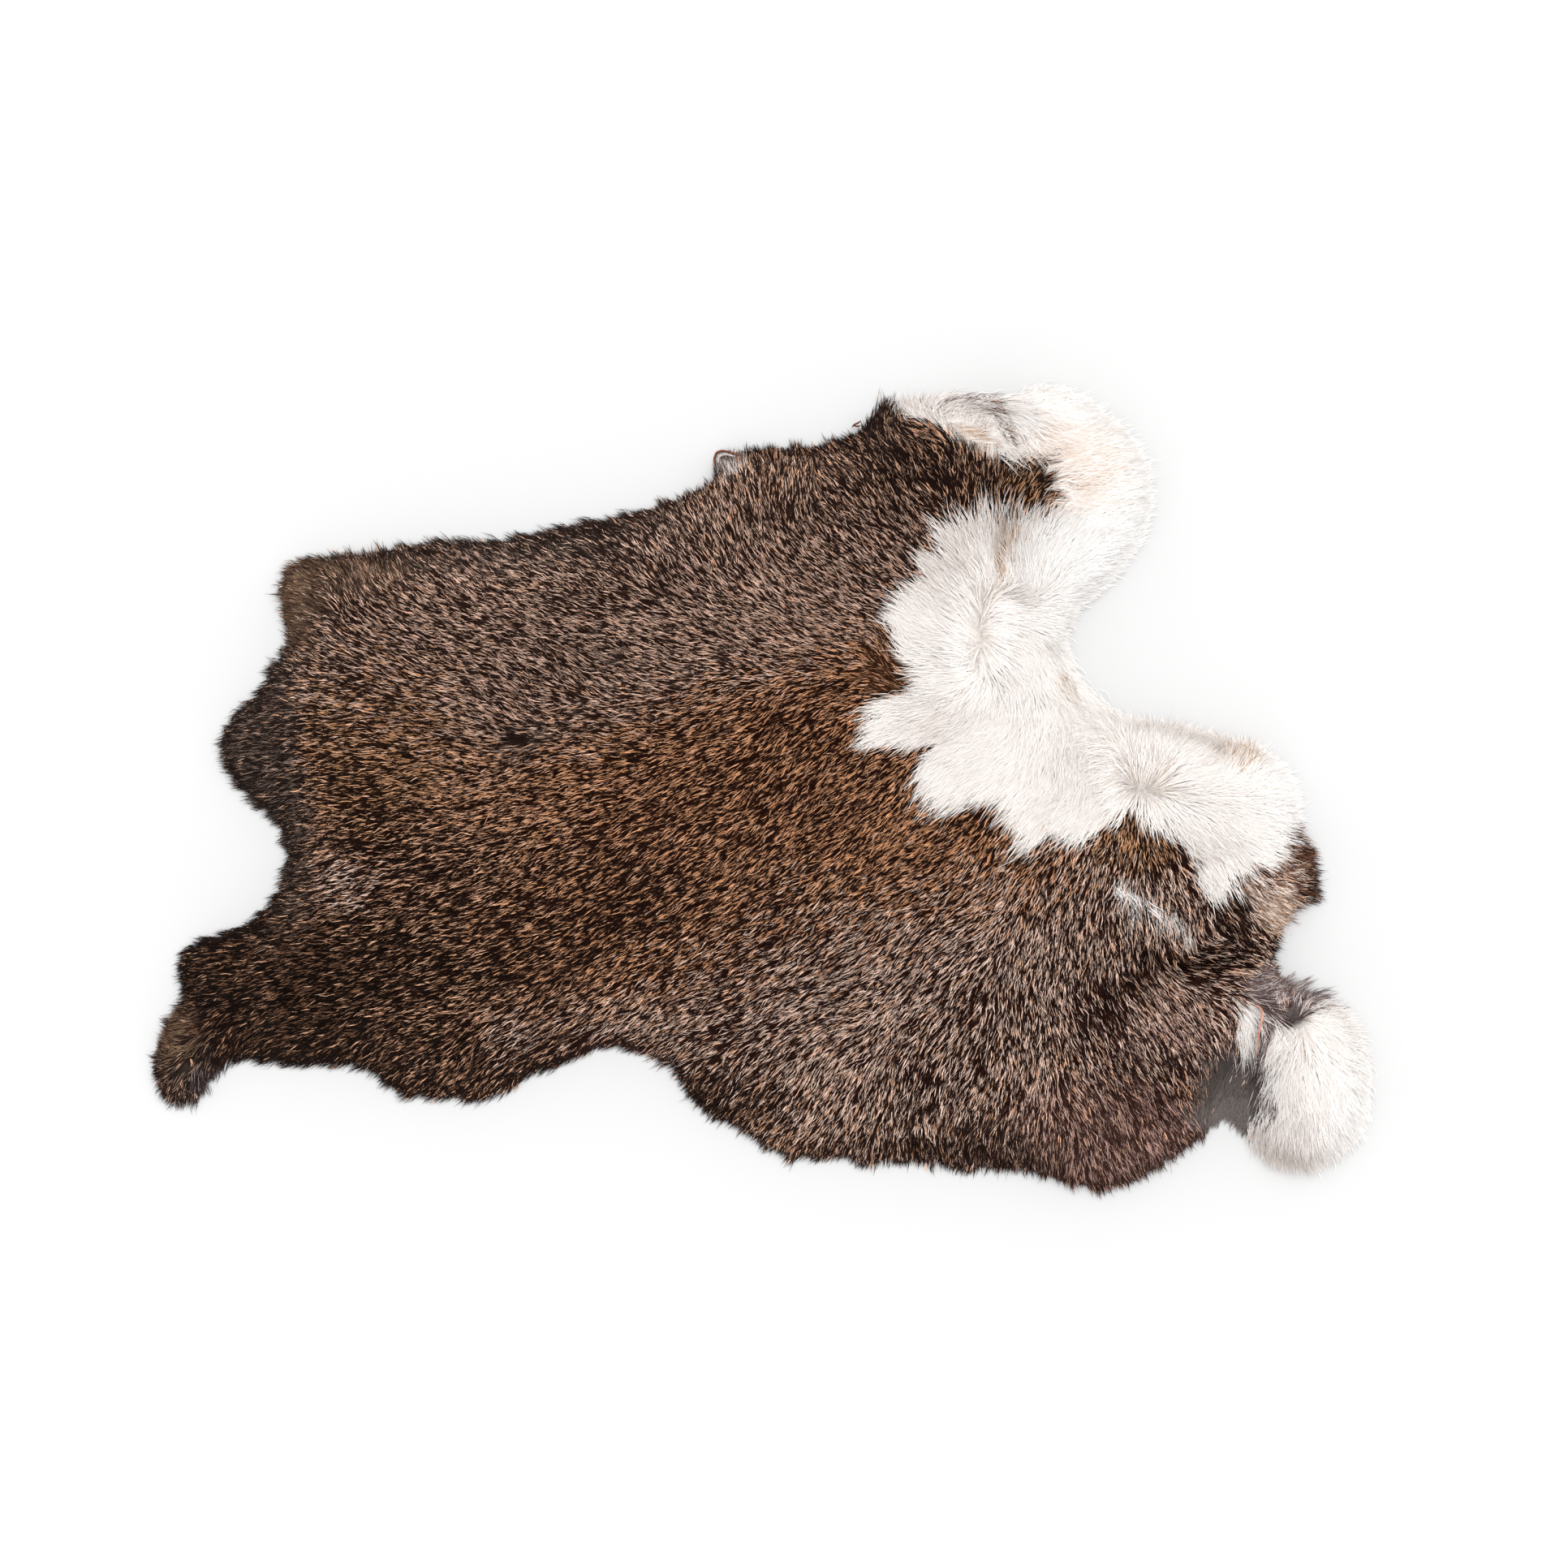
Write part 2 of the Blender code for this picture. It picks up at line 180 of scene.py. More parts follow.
class Socket:
    """One output in a material's node tree. Arithmetic on it adds Math nodes to the tree."""

    def __init__(self, tree, output=None):
        self.tree = tree
        self.output = output

    def add(self, kind, settings, feeds, result=0):
        """An output of a new node. Its settings come first, then the values or links of its sockets."""
        node = self.tree.nodes.new(kind)
        for name, value in settings.items():
            if name == "stops":
                bands = node.color_ramp.elements
                bands.remove(bands[1])
                for index, (place, colour) in enumerate(value):
                    band = bands[0] if index == 0 else bands.new(place)
                    band.position = place
                    band.color = colour
            elif name == "steps":
                node.color_ramp.interpolation = value
            else:
                setattr(node, name, value)
        for name, value in feeds.items():
            if isinstance(value, Socket):
                self.tree.links.new(value.output, node.inputs[name])
            else:
                node.inputs[name].default_value = value
        return Socket(self.tree, node.outputs[result])

    def math(self, operation, *values):
        return self.add("ShaderNodeMath", {"operation": operation}, dict(enumerate(values)))

    def __add__(self, other):
        return self.math("ADD", self, other)

    __radd__ = __add__

    def __sub__(self, other):
        return self.math("SUBTRACT", self, other)

    def __rsub__(self, other):
        return self.math("SUBTRACT", other, self)

    def __mul__(self, other):
        return self.math("MULTIPLY", self, other)

    __rmul__ = __mul__

    def __truediv__(self, other):
        return self.math("DIVIDE", self, other)

    def __mod__(self, other):
        return self.math("FLOORED_MODULO", self, other)

    def ramp(self, low, high):
        """0 below low, 1 above high and a smooth step between them."""
        feeds = {"Value": self, "From Min": low, "From Max": high}
        return self.add("ShaderNodeMapRange", {"interpolation_type": "SMOOTHSTEP"}, feeds)

    def blend(self, start, end):
        """From the colour start, where this is 0, to the colour end, where it is 1."""
        return self.add("ShaderNodeMix", {"data_type": "RGBA"}, {0: self, 6: start, 7: end}, 2)

    def noise(self, scale, detail):
        """Noise over the places that this gives."""
        return self.add("ShaderNodeTexNoise", {}, {"Vector": self, "Scale": scale, "Detail": detail})

    def relief(self, rise):
        """The tilt of a surface that this raises by up to so many metres."""
        return self.add("ShaderNodeBump", {}, {"Height": self, "Distance": rise})

    def feed(self, shader, entry):
        """Link this to a socket of the shader."""
        self.tree.links.new(self.output, shader.inputs[entry])


def tone(red, green, blue):
    """A colour from its red, green and blue out of 255, as a shader takes it."""
    parts = [part / 255 for part in (red, green, blue)]
    return (*(part / 12.92 if part < 0.04 else ((part + 0.055) / 1.055) ** 2.4 for part in parts), 1.0)


def new_material(name, roughness, gloss):
    """A material, its shader and a place to start its nodes from."""
    material = bpy.data.materials.new(name)
    material.use_nodes = True
    shader = material.node_tree.nodes["Principled BSDF"]
    shader.inputs["Roughness"].default_value = roughness
    shader.inputs["Specular IOR Level"].default_value = gloss
    return material, shader, Socket(material.node_tree)


HIDE_COLOURS = (tone(196, 158, 128), tone(222, 193, 166))
HIDE_FLESH = tone(178, 128, 104)


def patch_inside(spacing, inset):
    """Places of a net that ends where the fur's edge is inset away, and its squares."""
    columns = np.arange(GRID_LEFT, GRID_LEFT + GRID_COLUMNS - 2, spacing)
    rows = np.arange(GRID_BOTTOM, GRID_BOTTOM + GRID_ROWS - 2, spacing)
    x, y = (side.ravel() for side in np.meshgrid(columns, rows))
    within = read(rim, x, y) - inset
    count = len(columns)
    corner = (np.arange(len(rows) - 1)[:, None] * count + np.arange(count - 1)).ravel()
    squares = np.stack([corner, corner + 1, corner + 1 + count, corner + count], axis=1)
    squares = squares[(within[squares] > -0.6 * spacing).all(axis=1)]
    met = np.bincount(squares.ravel(), minlength=len(x))
    border = (met > 0) & (met < 4)
    towards = inward_at(x, y)
    move = np.clip(within, -spacing, spacing) * border
    x, y = x - towards[:, 0] * move, y - towards[:, 1] * move
    used = np.flatnonzero(met)
    order = np.zeros(len(x), dtype=int)
    order[used] = np.arange(len(used))
    return x[used], y[used], border[used], order[squares]


def leather():
    """Soft tanned leather: mottled tan with a fine nap, redder where it was drawn thin."""
    material, shader, start = new_material("tanned_hide", 0.85, 0.2)
    place = start.add("ShaderNodeTexCoord", {}, {}, "Object")
    mottle = place.noise(60.0, 5.0)
    thin = place.noise(14.0, 2.0)
    nap = place.noise(1400.0, 3.0)
    mottled = mottle.ramp(0.35, 0.7).blend(*HIDE_COLOURS)
    colour = (thin.ramp(0.55, 0.8) * 0.6).blend(mottled, HIDE_FLESH)
    raised = (nap + mottle).relief(0.0003)
    colour.feed(shader, "Base Color")
    raised.feed(shader, "Normal")
    return material


hide_leather = leather()
x, y, _, squares = patch_inside(HIDE_CELL, HIDE_INSET)
hide_mesh = bpy.data.meshes.new("hide")
hide_mesh.from_pydata(
    in_frame(x, y, np.full_like(x, HIDE_LIFT + HIDE_THICKNESS)).tolist(), [], squares.tolist()
)
hide = link_piece("hide", hide_mesh, hide_leather)
plump = hide.modifiers.new("thickness", "SOLIDIFY")
plump.thickness = HIDE_THICKNESS * MM
plump.offset = -1.0

# The curled edges: where the cut edge of the hide turns up through the fur and shows its reddish cut.
# They are the tab on the upper edge with two small curls beside it, the cut beside the tail's root and
# a bare speck on the small lobe. Each is a thin roll of the same leather.
ROLL_SIDES = 8
ROLL_RINGS = 6         # for each place that a roll passes
ROLL_SMOOTHING = 5     # rings over which its bends are rounded
ROLL_HEIGHT = 1.6      # of a roll against its width
# Columns: colour, radius, how high over the pile its two ends are, places from one end to the other.
CURLED_EDGES = (
    ((126, 72, 50), 0.42, (-2.0, 2.5), (
        (-10.5, 105.5), (-13, 108), (-15.5, 110.4), (-15.8, 113), (-15, 115.2), (-13, 115.8),
        (-10.2, 115.1), (-6.6, 113.8), (-6.4, 111.5))),
    ((196, 186, 182), 0.5, (2.5, 2.5), ((-14.4, 111), (-14.2, 113.6), (-12, 114.5), (-8.4, 113.4))),
    ((112, 66, 46), 0.34, (3.0, 4.0), ((31.6, 123.6), (32.4, 124.6), (33.8, 125.2), (34.8, 126.0))),
    ((112, 66, 46), 0.3, (3.0, 3.0), ((31.9, 124.4), (33.4, 124.0), (34.8, 124.3))),
    ((236, 168, 146), 0.38, (3.5, 4.5), (
        (169.2, -74.8), (171.2, -75.4), (172.4, -77.4), (171.8, -80), (171.1, -84), (170.9, -88),
        (170.6, -93))),
    ((214, 160, 134), 0.5, (-2.5, -2.5), ((-195.8, -93.4), (-195.2, -95.2), (-195.4, -97.0))),
)


def rolled(places, radius, lifts):
    """Corners and faces of a thin roll along the places, pointed at both its ends."""
    ends = np.array(places, dtype=float)
    stations = np.linspace(0, len(ends) - 1, ROLL_RINGS * len(ends))
    x, y = (np.interp(stations, np.arange(len(ends)), ends[:, axis]) for axis in (0, 1))
    even = np.ones(ROLL_SMOOTHING) / ROLL_SMOOTHING
    x, y = (np.convolve(np.pad(side, ROLL_SMOOTHING // 2, "edge"), even, "valid") for side in (x, y))
    z = read(form, x, y) + np.linspace(*lifts, len(x))
    run_x, run_y = np.gradient(x), np.gradient(y)
    size = np.hypot(run_x, run_y)
    thick = radius * np.sqrt(np.sin(np.linspace(0.03, math.pi - 0.03, len(x))))
    turn = 2 * math.pi * np.arange(ROLL_SIDES) / ROLL_SIDES
    side = np.cos(turn)[None, :] * thick[:, None]
    rings = in_frame(
        x[:, None] - side * (run_y / size)[:, None],
        y[:, None] + side * (run_x / size)[:, None],
        z[:, None] + ROLL_HEIGHT * np.sin(turn)[None, :] * thick[:, None],
    ).reshape(-1, 3)
    ring, corner = (part.ravel() for part in np.mgrid[0:len(x) - 1, 0:ROLL_SIDES])
    first = ring * ROLL_SIDES + corner
    second = ring * ROLL_SIDES + (corner + 1) % ROLL_SIDES
    faces = np.stack([first, second, second + ROLL_SIDES, first + ROLL_SIDES], axis=1)
    return rings, faces


def cut_leather():
    """The cut edge of tanned hide: fibrous, in the colour laid on the mesh."""
    material, shader, start = new_material("cut_edge", 0.7, 0.25)
    place = start.add("ShaderNodeTexCoord", {}, {}, "Object")
    tint = start.add("ShaderNodeAttribute", {"attribute_name": "tint"}, {}, "Color")
    fibres = place.noise(1200.0, 3.0)
    shade = fibres.ramp(0.3, 0.7) * 0.35 + 0.65
    colour = start.add("ShaderNodeVectorMath", {"operation": "SCALE"}, {0: tint, "Scale": shade})
    raised = fibres.relief(0.0002)
    colour.feed(shader, "Base Color")
    raised.feed(shader, "Normal")
    return material


corners, faces, tints = [], [], []
for tint, radius, lifts, places in CURLED_EDGES:
    rings, own_faces = rolled(places, radius, lifts)
    faces += (own_faces + len(corners)).tolist()
    corners += rings.tolist()
    tints += [tone(*tint)] * len(rings)
edge_mesh = bpy.data.meshes.new("curled_edges")
edge_mesh.from_pydata(corners, [], faces)
edge_mesh.attributes.new("tint", "FLOAT_COLOR", "POINT").data.foreach_set("color", np.ravel(tints))
link_piece("curled_edges", edge_mesh, cut_leather())

# The coats: the kinds of hair that this rabbit grew, and three more for painted light and shade: a
# whiter coat of painted light and two grey coats that are mostly painted shadow. A hair has one colour
# at its root, a pale band and a darker tip, and a ticked coat is clumps with the band beside clumps with
# almost none. All hair shares one finish, which reads the coat and the place along the hair from the map on
# the hair.
# Columns: name, root, band, tip, share of clumps with the band, how much of such a hair is pale,
# hair length, how far a clump of hairs draws together at its tip, how unevenly its clumps lie.
COATS = (
    ("bark", (78, 45, 33), (246, 192, 156), (29, 14, 9), 0.42, 0.58, 7.8, 0.85, 0.85),
    ("rust", (89, 47, 29), (242, 177, 130), (33, 14, 8), 0.42, 0.58, 7.6, 0.85, 0.85),
    ("russet", (118, 74, 46), (182, 134, 99), (66, 38, 23), 0.32, 0.5, 10.0, 0.6, 0.7),
    ("ochre", (80, 51, 34), (226, 169, 124), (35, 20, 12), 0.41, 0.58, 8.0, 0.75, 0.8),
    ("grizzle", (96, 66, 55), (246, 207, 185), (43, 26, 20), 0.44, 0.57, 8.0, 0.85, 0.85),
    ("slate", (66, 54, 49), (132, 112, 101), (33, 22, 17), 0.46, 0.5, 9.0, 0.6, 0.8),
    ("fawn", (95, 52, 40), (255, 222, 203), (32, 13, 9), 0.46, 0.62, 8.2, 0.85, 0.9),
    ("lilac", (116, 84, 74), (206, 168, 155), (64, 39, 33), 0.45, 0.58, 11.0, 0.75, 0.8),
    ("frosted", (97, 55, 43), (252, 218, 198), (34, 14, 10), 0.46, 0.64, 9.6, 0.85, 0.9),
    ("silver", (176, 164, 160), (216, 205, 201), (116, 101, 96), 0.7, 0.7, 12.0, 0.5, 0.5),
    ("mauve", (146, 128, 125), (216, 202, 199), (112, 95, 92), 0.5, 0.6, 11.0, 0.5, 0.5),
    ("tan", (222, 205, 189), (230, 212, 195), (176, 142, 114), 0.7, 0.75, 11.0, 0.4, 0.4),
    ("cream", (230, 217, 207), (236, 222, 212), (239, 226, 216), 1.0, 0.9, 13.0, 0.1, 0.12),
    # The next coat is whiter than the white hair: painted light on the rims that slope away from the light.
    ("painted_light_white", (246, 242, 239), (253, 252, 251), (254, 253, 252), 1.0, 0.9, 12.5, 0.2, 0.2),
    ("ivory", (238, 232, 227), (240, 235, 231), (243, 239, 236), 1.0, 0.9, 12.5, 0.3, 0.25),
    ("pearl", (196, 186, 180), (216, 207, 202), (222, 214, 209), 1.0, 0.8, 12.5, 0.4, 0.4),
    ("umber", (42, 26, 19), (144, 105, 80), (20, 11, 7), 0.36, 0.48, 8.4, 0.8, 0.9),
    ("dun", (96, 75, 61), (140, 113, 90), (88, 66, 52), 0.6, 0.55, 11.0, 0.5, 0.5),
    ("sand", (168, 140, 125), (248, 230, 220), (122, 90, 75), 0.56, 0.65, 11.0, 0.7, 0.7),
    # The next two coats are painted shadow between the rump and the tail, the second paler where the shadow
    # fades; the first is also the dark grey of a lock at the tail's root.
    ("smoke", (84, 75, 72), (92, 84, 81), (94, 85, 82), 1.0, 0.6, 7.0, 0.1, 0.1),
    ("fading_shadow_grey", (98, 90, 86), (108, 100, 96), (118, 110, 107), 1.0, 0.6, 7.0, 0.1, 0.1),
    ("ash", (92, 78, 78), (156, 141, 139), (62, 50, 50), 0.4, 0.5, 10.0, 0.5, 0.5),
    ("sooty", (62, 43, 35), (178, 144, 122), (30, 16, 12), 0.38, 0.48, 9.0, 0.7, 0.8),
)
COAT_NAMES = [row[0] for row in COATS]
COLUMN_EDGE = 0.12      # share of a coat's column left unused at each side
HAIR_ENDS = (0.03, 0.97)


def hair_finish():
    """The finish of all the hair, read from where its map says: the coat across, the hair upwards."""
    material, shader, start = new_material("rabbit_hair", 0.6, 0.08)
    place = start.add("ShaderNodeUVMap", {"uv_map": "OFBake"}, {})
    across = start.add("ShaderNodeSeparateXYZ", {}, {"Vector": place}, "X")
    along = start.add("ShaderNodeSeparateXYZ", {}, {"Vector": place}, "Y")
    colours = []
    for part in (1, 2, 3):
        stops = [(index / len(COATS), tone(*row[part])) for index, row in enumerate(COATS)]
        ramp = {"stops": stops, "steps": "CONSTANT"}
        colours.append(start.add("ShaderNodeValToRGB", ramp, {"Fac": across}))
    root, band, tip = colours
    pale = (across * len(COATS) % 1 - COLUMN_EDGE) / (1 - 2 * COLUMN_EDGE)
    from_root = (along - HAIR_ENDS[0]) / (HAIR_ENDS[1] - HAIR_ENDS[0])
    band_start = 0.8 - 0.54 * pale
    band_end = 0.78 + 0.3 * pale * pale
    banded = from_root.ramp(band_start - 0.06, band_start + 0.1)
    banded = banded * (1 - from_root.ramp(band_end - 0.06, band_end + 0.04))
    plain = from_root.ramp(0.3, 0.75).blend(root, tip)
    colour = (banded * pale.ramp(0.18, 0.46)).blend(plain, band)
    colour.feed(shader, "Base Color")
    return material


# The markings: which coat grows where. The white runs from the shoulder over the flank to the haunch
# and takes the tail; everything else is brown, warm in the middle and dark at the lower left.
WHITE_MARKING = (
    (47.5, 140), (47.5, 133), (51, 128), (59, 125), (67, 120.5), (77, 115), (86, 112.5), (97, 112.5),
    (102, 108), (104, 100), (100, 91), (92, 92.5), (86, 94), (81, 90), (77, 95), (73, 93), (69, 89),
    (61, 90), (57, 90), (60, 84), (62, 80), (53, 80), (56, 73), (56, 70), (47, 66), (44, 60), (46, 51),
    (50, 42), (54, 35), (50, 31), (41, 30.5), (35, 27), (37, 22), (33.5, 13), (48, 13.5), (62, 15),
    (55, 8), (54.5, -1), (58, -6.5), (64, -9), (70, -6), (78, -5), (84, -10), (88, -18), (92, -24),
    (97, -15.5), (103, -17.5), (109, -20), (117, -14), (125, -11.5), (134, -15), (146, -20),
    (149.5, -26), (152.5, -38), (158, -37), (163, -31), (176, -28), (181, -21), (186, -15),
    (198, -11), (198, 31), (130, 36), (149, 92), (141, 143), (74, 145),
)
WHITE_TAIL = (
    (178, -83), (187, -79), (196, -75), (203, -72), (219, -81), (222, -121), (214, -140), (175, -143),
    (166, -126), (171, -115), (174, -101), (175, -90),
)
WHITE_STRIP = ((166, -75), (171.5, -75), (170.5, -86), (169.5, -94), (166, -94), (164, -86), (165, -80))
MARKING_BLUR = 1.2

# Patches of each coat among the brown hair; the length turns from +X towards +Y, in degrees.
# Columns: x, y, half_length, half_width, turn, strength.
BROWN_PATCHES = {
    "grizzle": [
        (-80, 60, 105, 34, 8, 5.0), (-10, 74, 62, 30, 0, 4.0), (-55, 36, 50, 20, 10, 2.0),
        (38, 84, 28, 22, 0, 1.0),
    ],
    "slate": [
        (-58, 86, 26, 9, 8, 5.0), (-149, 62, 11, 18, 0, 2.0), (-98, 82, 40, 8, 5, 5.0),
        (-199, -101, 8, 6, 0, 12.0), (-197, -96, 6, 5, 0, 9.0), (-170, 19, 9, 32, 0, 9.0),
        (-182, 8, 12, 18, 0, 9.0), (-165, -26, 9, 32, 0, 3.0), (-83, 15, 9, 6, 30, 2.5),
        (-56, 42, 10, 7, 40, 2.0), (190, -36, 5, 5, 0, 3.0),
    ],
    "umber": [
        (-50, -42, 28, 12, 20, 1.3), (-78, -61, 26, 12, 10, 1.8), (78, -84, 16, 9, -30, 1.0),
        (122, -78, 14, 8, 30, 1.2), (-118, -30, 36, 20, 0, 0.5), (-156, -62, 46, 16, 0, 2.0),
        (-172, -74, 40, 24, 0, 8.0), (-112, -95, 40, 11, 0, 2.2), (-14, -108, 24, 9, 0, 3.0),
        # The two thin umber patches along the rump's furrow, at (128, -67) and (149, -60), are painted
        # shade in it.
        (58, -124, 20, 6, -2, 2.0), (131, -27, 6, 3, -30, 12.0), (128, -67, 12, 3.5, 40, 6.0),
        (149, -60, 20, 3.2, 4, 7.0), (163, -44, 6, 9.5, 25, 20.0),
    ],
    "sooty": [
        (29, 103, 26, 14, 0, 1.0), (40, 124, 8, 14, 0, 8.0), (68, 111, 34, 9, -14, 1.0),
        (-199, -95, 14, 17, 0, 6.0), (88, -126, 22, 8, -4, 5.0),
    ],
    "ochre": [(95, 103, 13, 8, 0, 3.0), (-133, 18, 24, 26, 0, 3.5), (132, -21, 14, 9, 0, 16.0)],
    "silver": [(-11, 112, 4, 3.5, 0, 8.0), (193, -72, 7, 5, 0, 20.0)],
    "dun": [(-160, 65, 8, 14, 0, 9.0), (-138, 73, 18, 7, 5, 3.0), (-203, -86, 9, 9, 20, 14.0)],
    "fawn": [
        (-143, -34, 9, 9, 0, 2.5), (-86, -88, 8, 10, -40, 2.5), (-42, -84, 28, 10, 0, 1.2),
        (46, -86, 66, 36, -6, 4.0), (92, -50, 34, 22, -20, 4.0), (140, -80, 30, 16, 0, 5.0),
    ],
    "ash": [(-192, -104, 4, 5, 0, 14.0), (182.5, -76.5, 2.6, 4, 0, 60.0), (168, -96, 5, 5, 30, 20.0)],
    "rust": [
        (-188, -94, 4, 10, -20, 3.0), (9, 15, 62, 26, 16, 4.0), (-20, -22, 66, 28, 22, 1.6),
        (62, -26, 46, 19, -12, 4.0), (-30, -54, 60, 18, 0, 1.5), (-40, 10, 56, 16, 16, 1.5),
    ],
    "russet": [(46, 40, 12, 10, 0, 12.0), (186, -31, 8, 13, 0, 2.5)],
    "lilac": [(121, -122, 34, 17, -3, 5.0), (142, -82, 26, 12, 0, 2.0)],
    "frosted": [(146, -40, 34, 20, -15, 6.0)],
    "ivory": [(139, -44, 10, 3.0, -40, 3.0), (127, -38, 6, 2.0, -50, 4.0)],
    "sand": [(184, -30, 8, 12, 0, 2.0), (177, -40, 12, 5.5, -28, 16.0)],
    "tan": [(179, -43, 9, 5.5, -28, 30.0)],
    "mauve": [(181, -70, 10, 6, -10, 20.0), (174, -84, 3.5, 14, 0, 30.0)],
    # Painted shadow: dark grey fur in the shade between the rump and the tail, paler at its lower end.
    "smoke": [(164, -105, 8, 9, 0, 90.0)],
    "fading_shadow_grey": [(164, -115, 10, 4.5, 0, 300.0)],
}
# The same for patches in the white hair.
WHITE_PATCHES = {
    "cream": [(106, 108, 15, 13, 0, 9.0)],
    # Painted light: whiter hair on the right of the shoulder lobe, the haunch's right edge and the tail's
    # right side.
    "painted_light_white": [(122, 92, 24, 44, 0, 3.0), (188, 0, 12, 22, 0, 2.0), (206, -112, 10, 24, 0, 1.2)],
    "pearl": [
        # Three of these grey patches are painted shade: below the dark lobe at (95, 93), in the whorl's
        # hollow on the haunch at (133, 4) and along the haunch's top edge at (143, 20).
        (95, 93, 9, 4, 0, 2.0), (64, 76, 11, 14, 0, 1.3), (75, 90, 13, 9, 0, 1.3),
        (60, 22, 10, 8, 0, 0.8), (112, 10, 14, 14, 0, 0.45), (133, 4, 12, 7, 0, 0.7),
        (62, 128, 20, 9, -12, 1.6), (74, 131.5, 7, 3, 0, 6.0), (143, 20, 12, 3.2, -12, 1.5),
        (153, -21, 10, 6, 0, 0.8), (182, -122, 14, 12, 20, 0.8), (177, -127, 12, 6, -25, 8.0),
        (181, -86, 6, 8, 0, 0.6),
    ],
    "tan": [
        # Three of these tan patches are painted shade: in the whorl's hollow at (134, 2), in the cleft left
        # of the big lock at (84, 82) and along the seam down the bib at (75.4, 52).
        (134, 2, 10, 5, 0, 0.3), (71, 120, 8, 2.6, -20, 2.5), (84, 82, 2.4, 12, -14, 2.5),
        (75.4, 52, 0.8, 12, -4, 1.0), (105, 36, 3.5, 4.5, 30, 0.7), (166, 13, 8, 4.5, 0, 2.0),
    ],
    "mauve": [(75, 132, 8, 3.5, 0, 3.5)],
    "russet": [(82, 129.5, 1.4, 3.2, 25, 5.0), (84.5, 121.5, 1.4, 4.5, 30, 6.0)],
    "ash": [(173, -110, 2.6, 9, -14, 1.6)],
}

# Where more of the clumps carry the pale band than their coat says, or fewer where it is negative.
# Columns: x, y, radius, how many more.
TICKING = (
    (8, 46, 28, 0.13), (38, 42, 14, 0.08), (-42, 46, 18, 0.09), (20, 96, 14, -0.08), (-105, 5, 28, 0.11),
    (-100, 80, 12, 0.11), (42, -20, 14, 0.11), (80, -40, 14, 0.12), (20, -98, 12, 0.09),
    (-80, -38, 13, -0.08), (0, -50, 13, -0.08), (122, -40, 9, -0.11), (-160, -50, 14, 0.04),
    (138, -79, 12, 0.17), (40, -78, 12, 0.06), (-52, 84, 20, -0.08), (-140, 62, 10, -0.09),
    (-140, 4, 14, -0.11), (-2, -8, 17, -0.09), (-108, -42, 20, -0.09), (-76, -60, 10, 0.08),
    (-50, -40, 22, -0.08), (-192, -80, 14, -0.09), (-15, -88, 14, -0.09), (60, -100, 13, -0.14),
    (90, -100, 14, 0.04), (80, -120, 12, -0.08), (120, -80, 12, -0.21), (80, -80, 12, -0.07),
    (160, -58, 10, -0.14), (10, 20, 14, -0.09), (-130, -18, 14, -0.09), (22, 58, 12, 0.09),
    (80, -40, 10, 0.04), (140, -102, 12, -0.14), (125, -22, 12, 0.06), (62, 102, 18, -0.09),
    (120, -118, 12, -0.09),
)


def inside(x, y, outline):
    """Which places lie inside a closed outline."""
    ends = np.array(outline, dtype=float)
    found = np.zeros(np.shape(x), dtype=bool)
    for (x_a, y_a), (x_b, y_b) in zip(ends, np.roll(ends, -1, axis=0)):
        if y_a != y_b:
            found ^= ((y_a > y) != (y_b > y)) & (x < x_a + (y - y_a) * (x_b - x_a) / (y_b - y_a))
    return found


def odds_of(x, y, patches, common):
    """How likely each coat is at each place: the common one, and the patches that reach it."""
    odds = np.zeros((len(x), len(COATS)))
    odds[:, COAT_NAMES.index(common)] = 1.0
    for coat, areas in patches.items():
        for patch_x, patch_y, half_length, half_width, turn, strength in areas:
            cos, sin = math.cos(math.radians(turn)), math.sin(math.radians(turn))
            dx, dy = x - patch_x, y - patch_y
            reach = ((dx * cos + dy * sin) / half_length) ** 2 + ((dy * cos - dx * sin) / half_width) ** 2
            odds[:, COAT_NAMES.index(coat)] += strength * np.exp(-(reach ** 1.5))
    return odds / odds.sum(axis=1, keepdims=True)


white = np.zeros(every_x.shape, dtype=bool)
for outline in (WHITE_MARKING, WHITE_TAIL, WHITE_STRIP):
    white |= inside(every_x, every_y, outline)
white = soften(white.astype(float), MARKING_BLUR)

# The wool: the short dense underfur on the hide, which shows only in partings and between clumps.
# It fills the pile to a few millimetres under its surface and closes down onto the hide at the edge.
WOOL_CELL = 2.3
WOOL_INSET = 2.6
WOOL_DEPTH = (7.0, 3.5)   # under brown hair and under white hair
WOOL_DEEPEST = 0.6        # of the pile's height
WOOL_FLOOR = HIDE_LIFT + HIDE_THICKNESS + 0.2
WOOL_EDGE = HIDE_LIFT + 0.4
WOOL_SHADE = 0.6          # of the brown roots' colour
# Columns: length between crests, height.
WOOL_LUMPS = ((9.0, 0.9), (4.0, 0.5))


def waves(x, y, length, draw):
    """A soft uneven swell of the given length between crests, from about -1 to 1."""
    total = np.zeros(np.shape(x))
    for _ in range(6):
        turn, start, stretch = draw.uniform(0, 2 * math.pi, 2).tolist() + [draw.uniform(0.75, 1.4)]
        total += np.sin((x * math.cos(turn) + y * math.sin(turn)) * 2 * math.pi * stretch / length + start)
    return total / 3


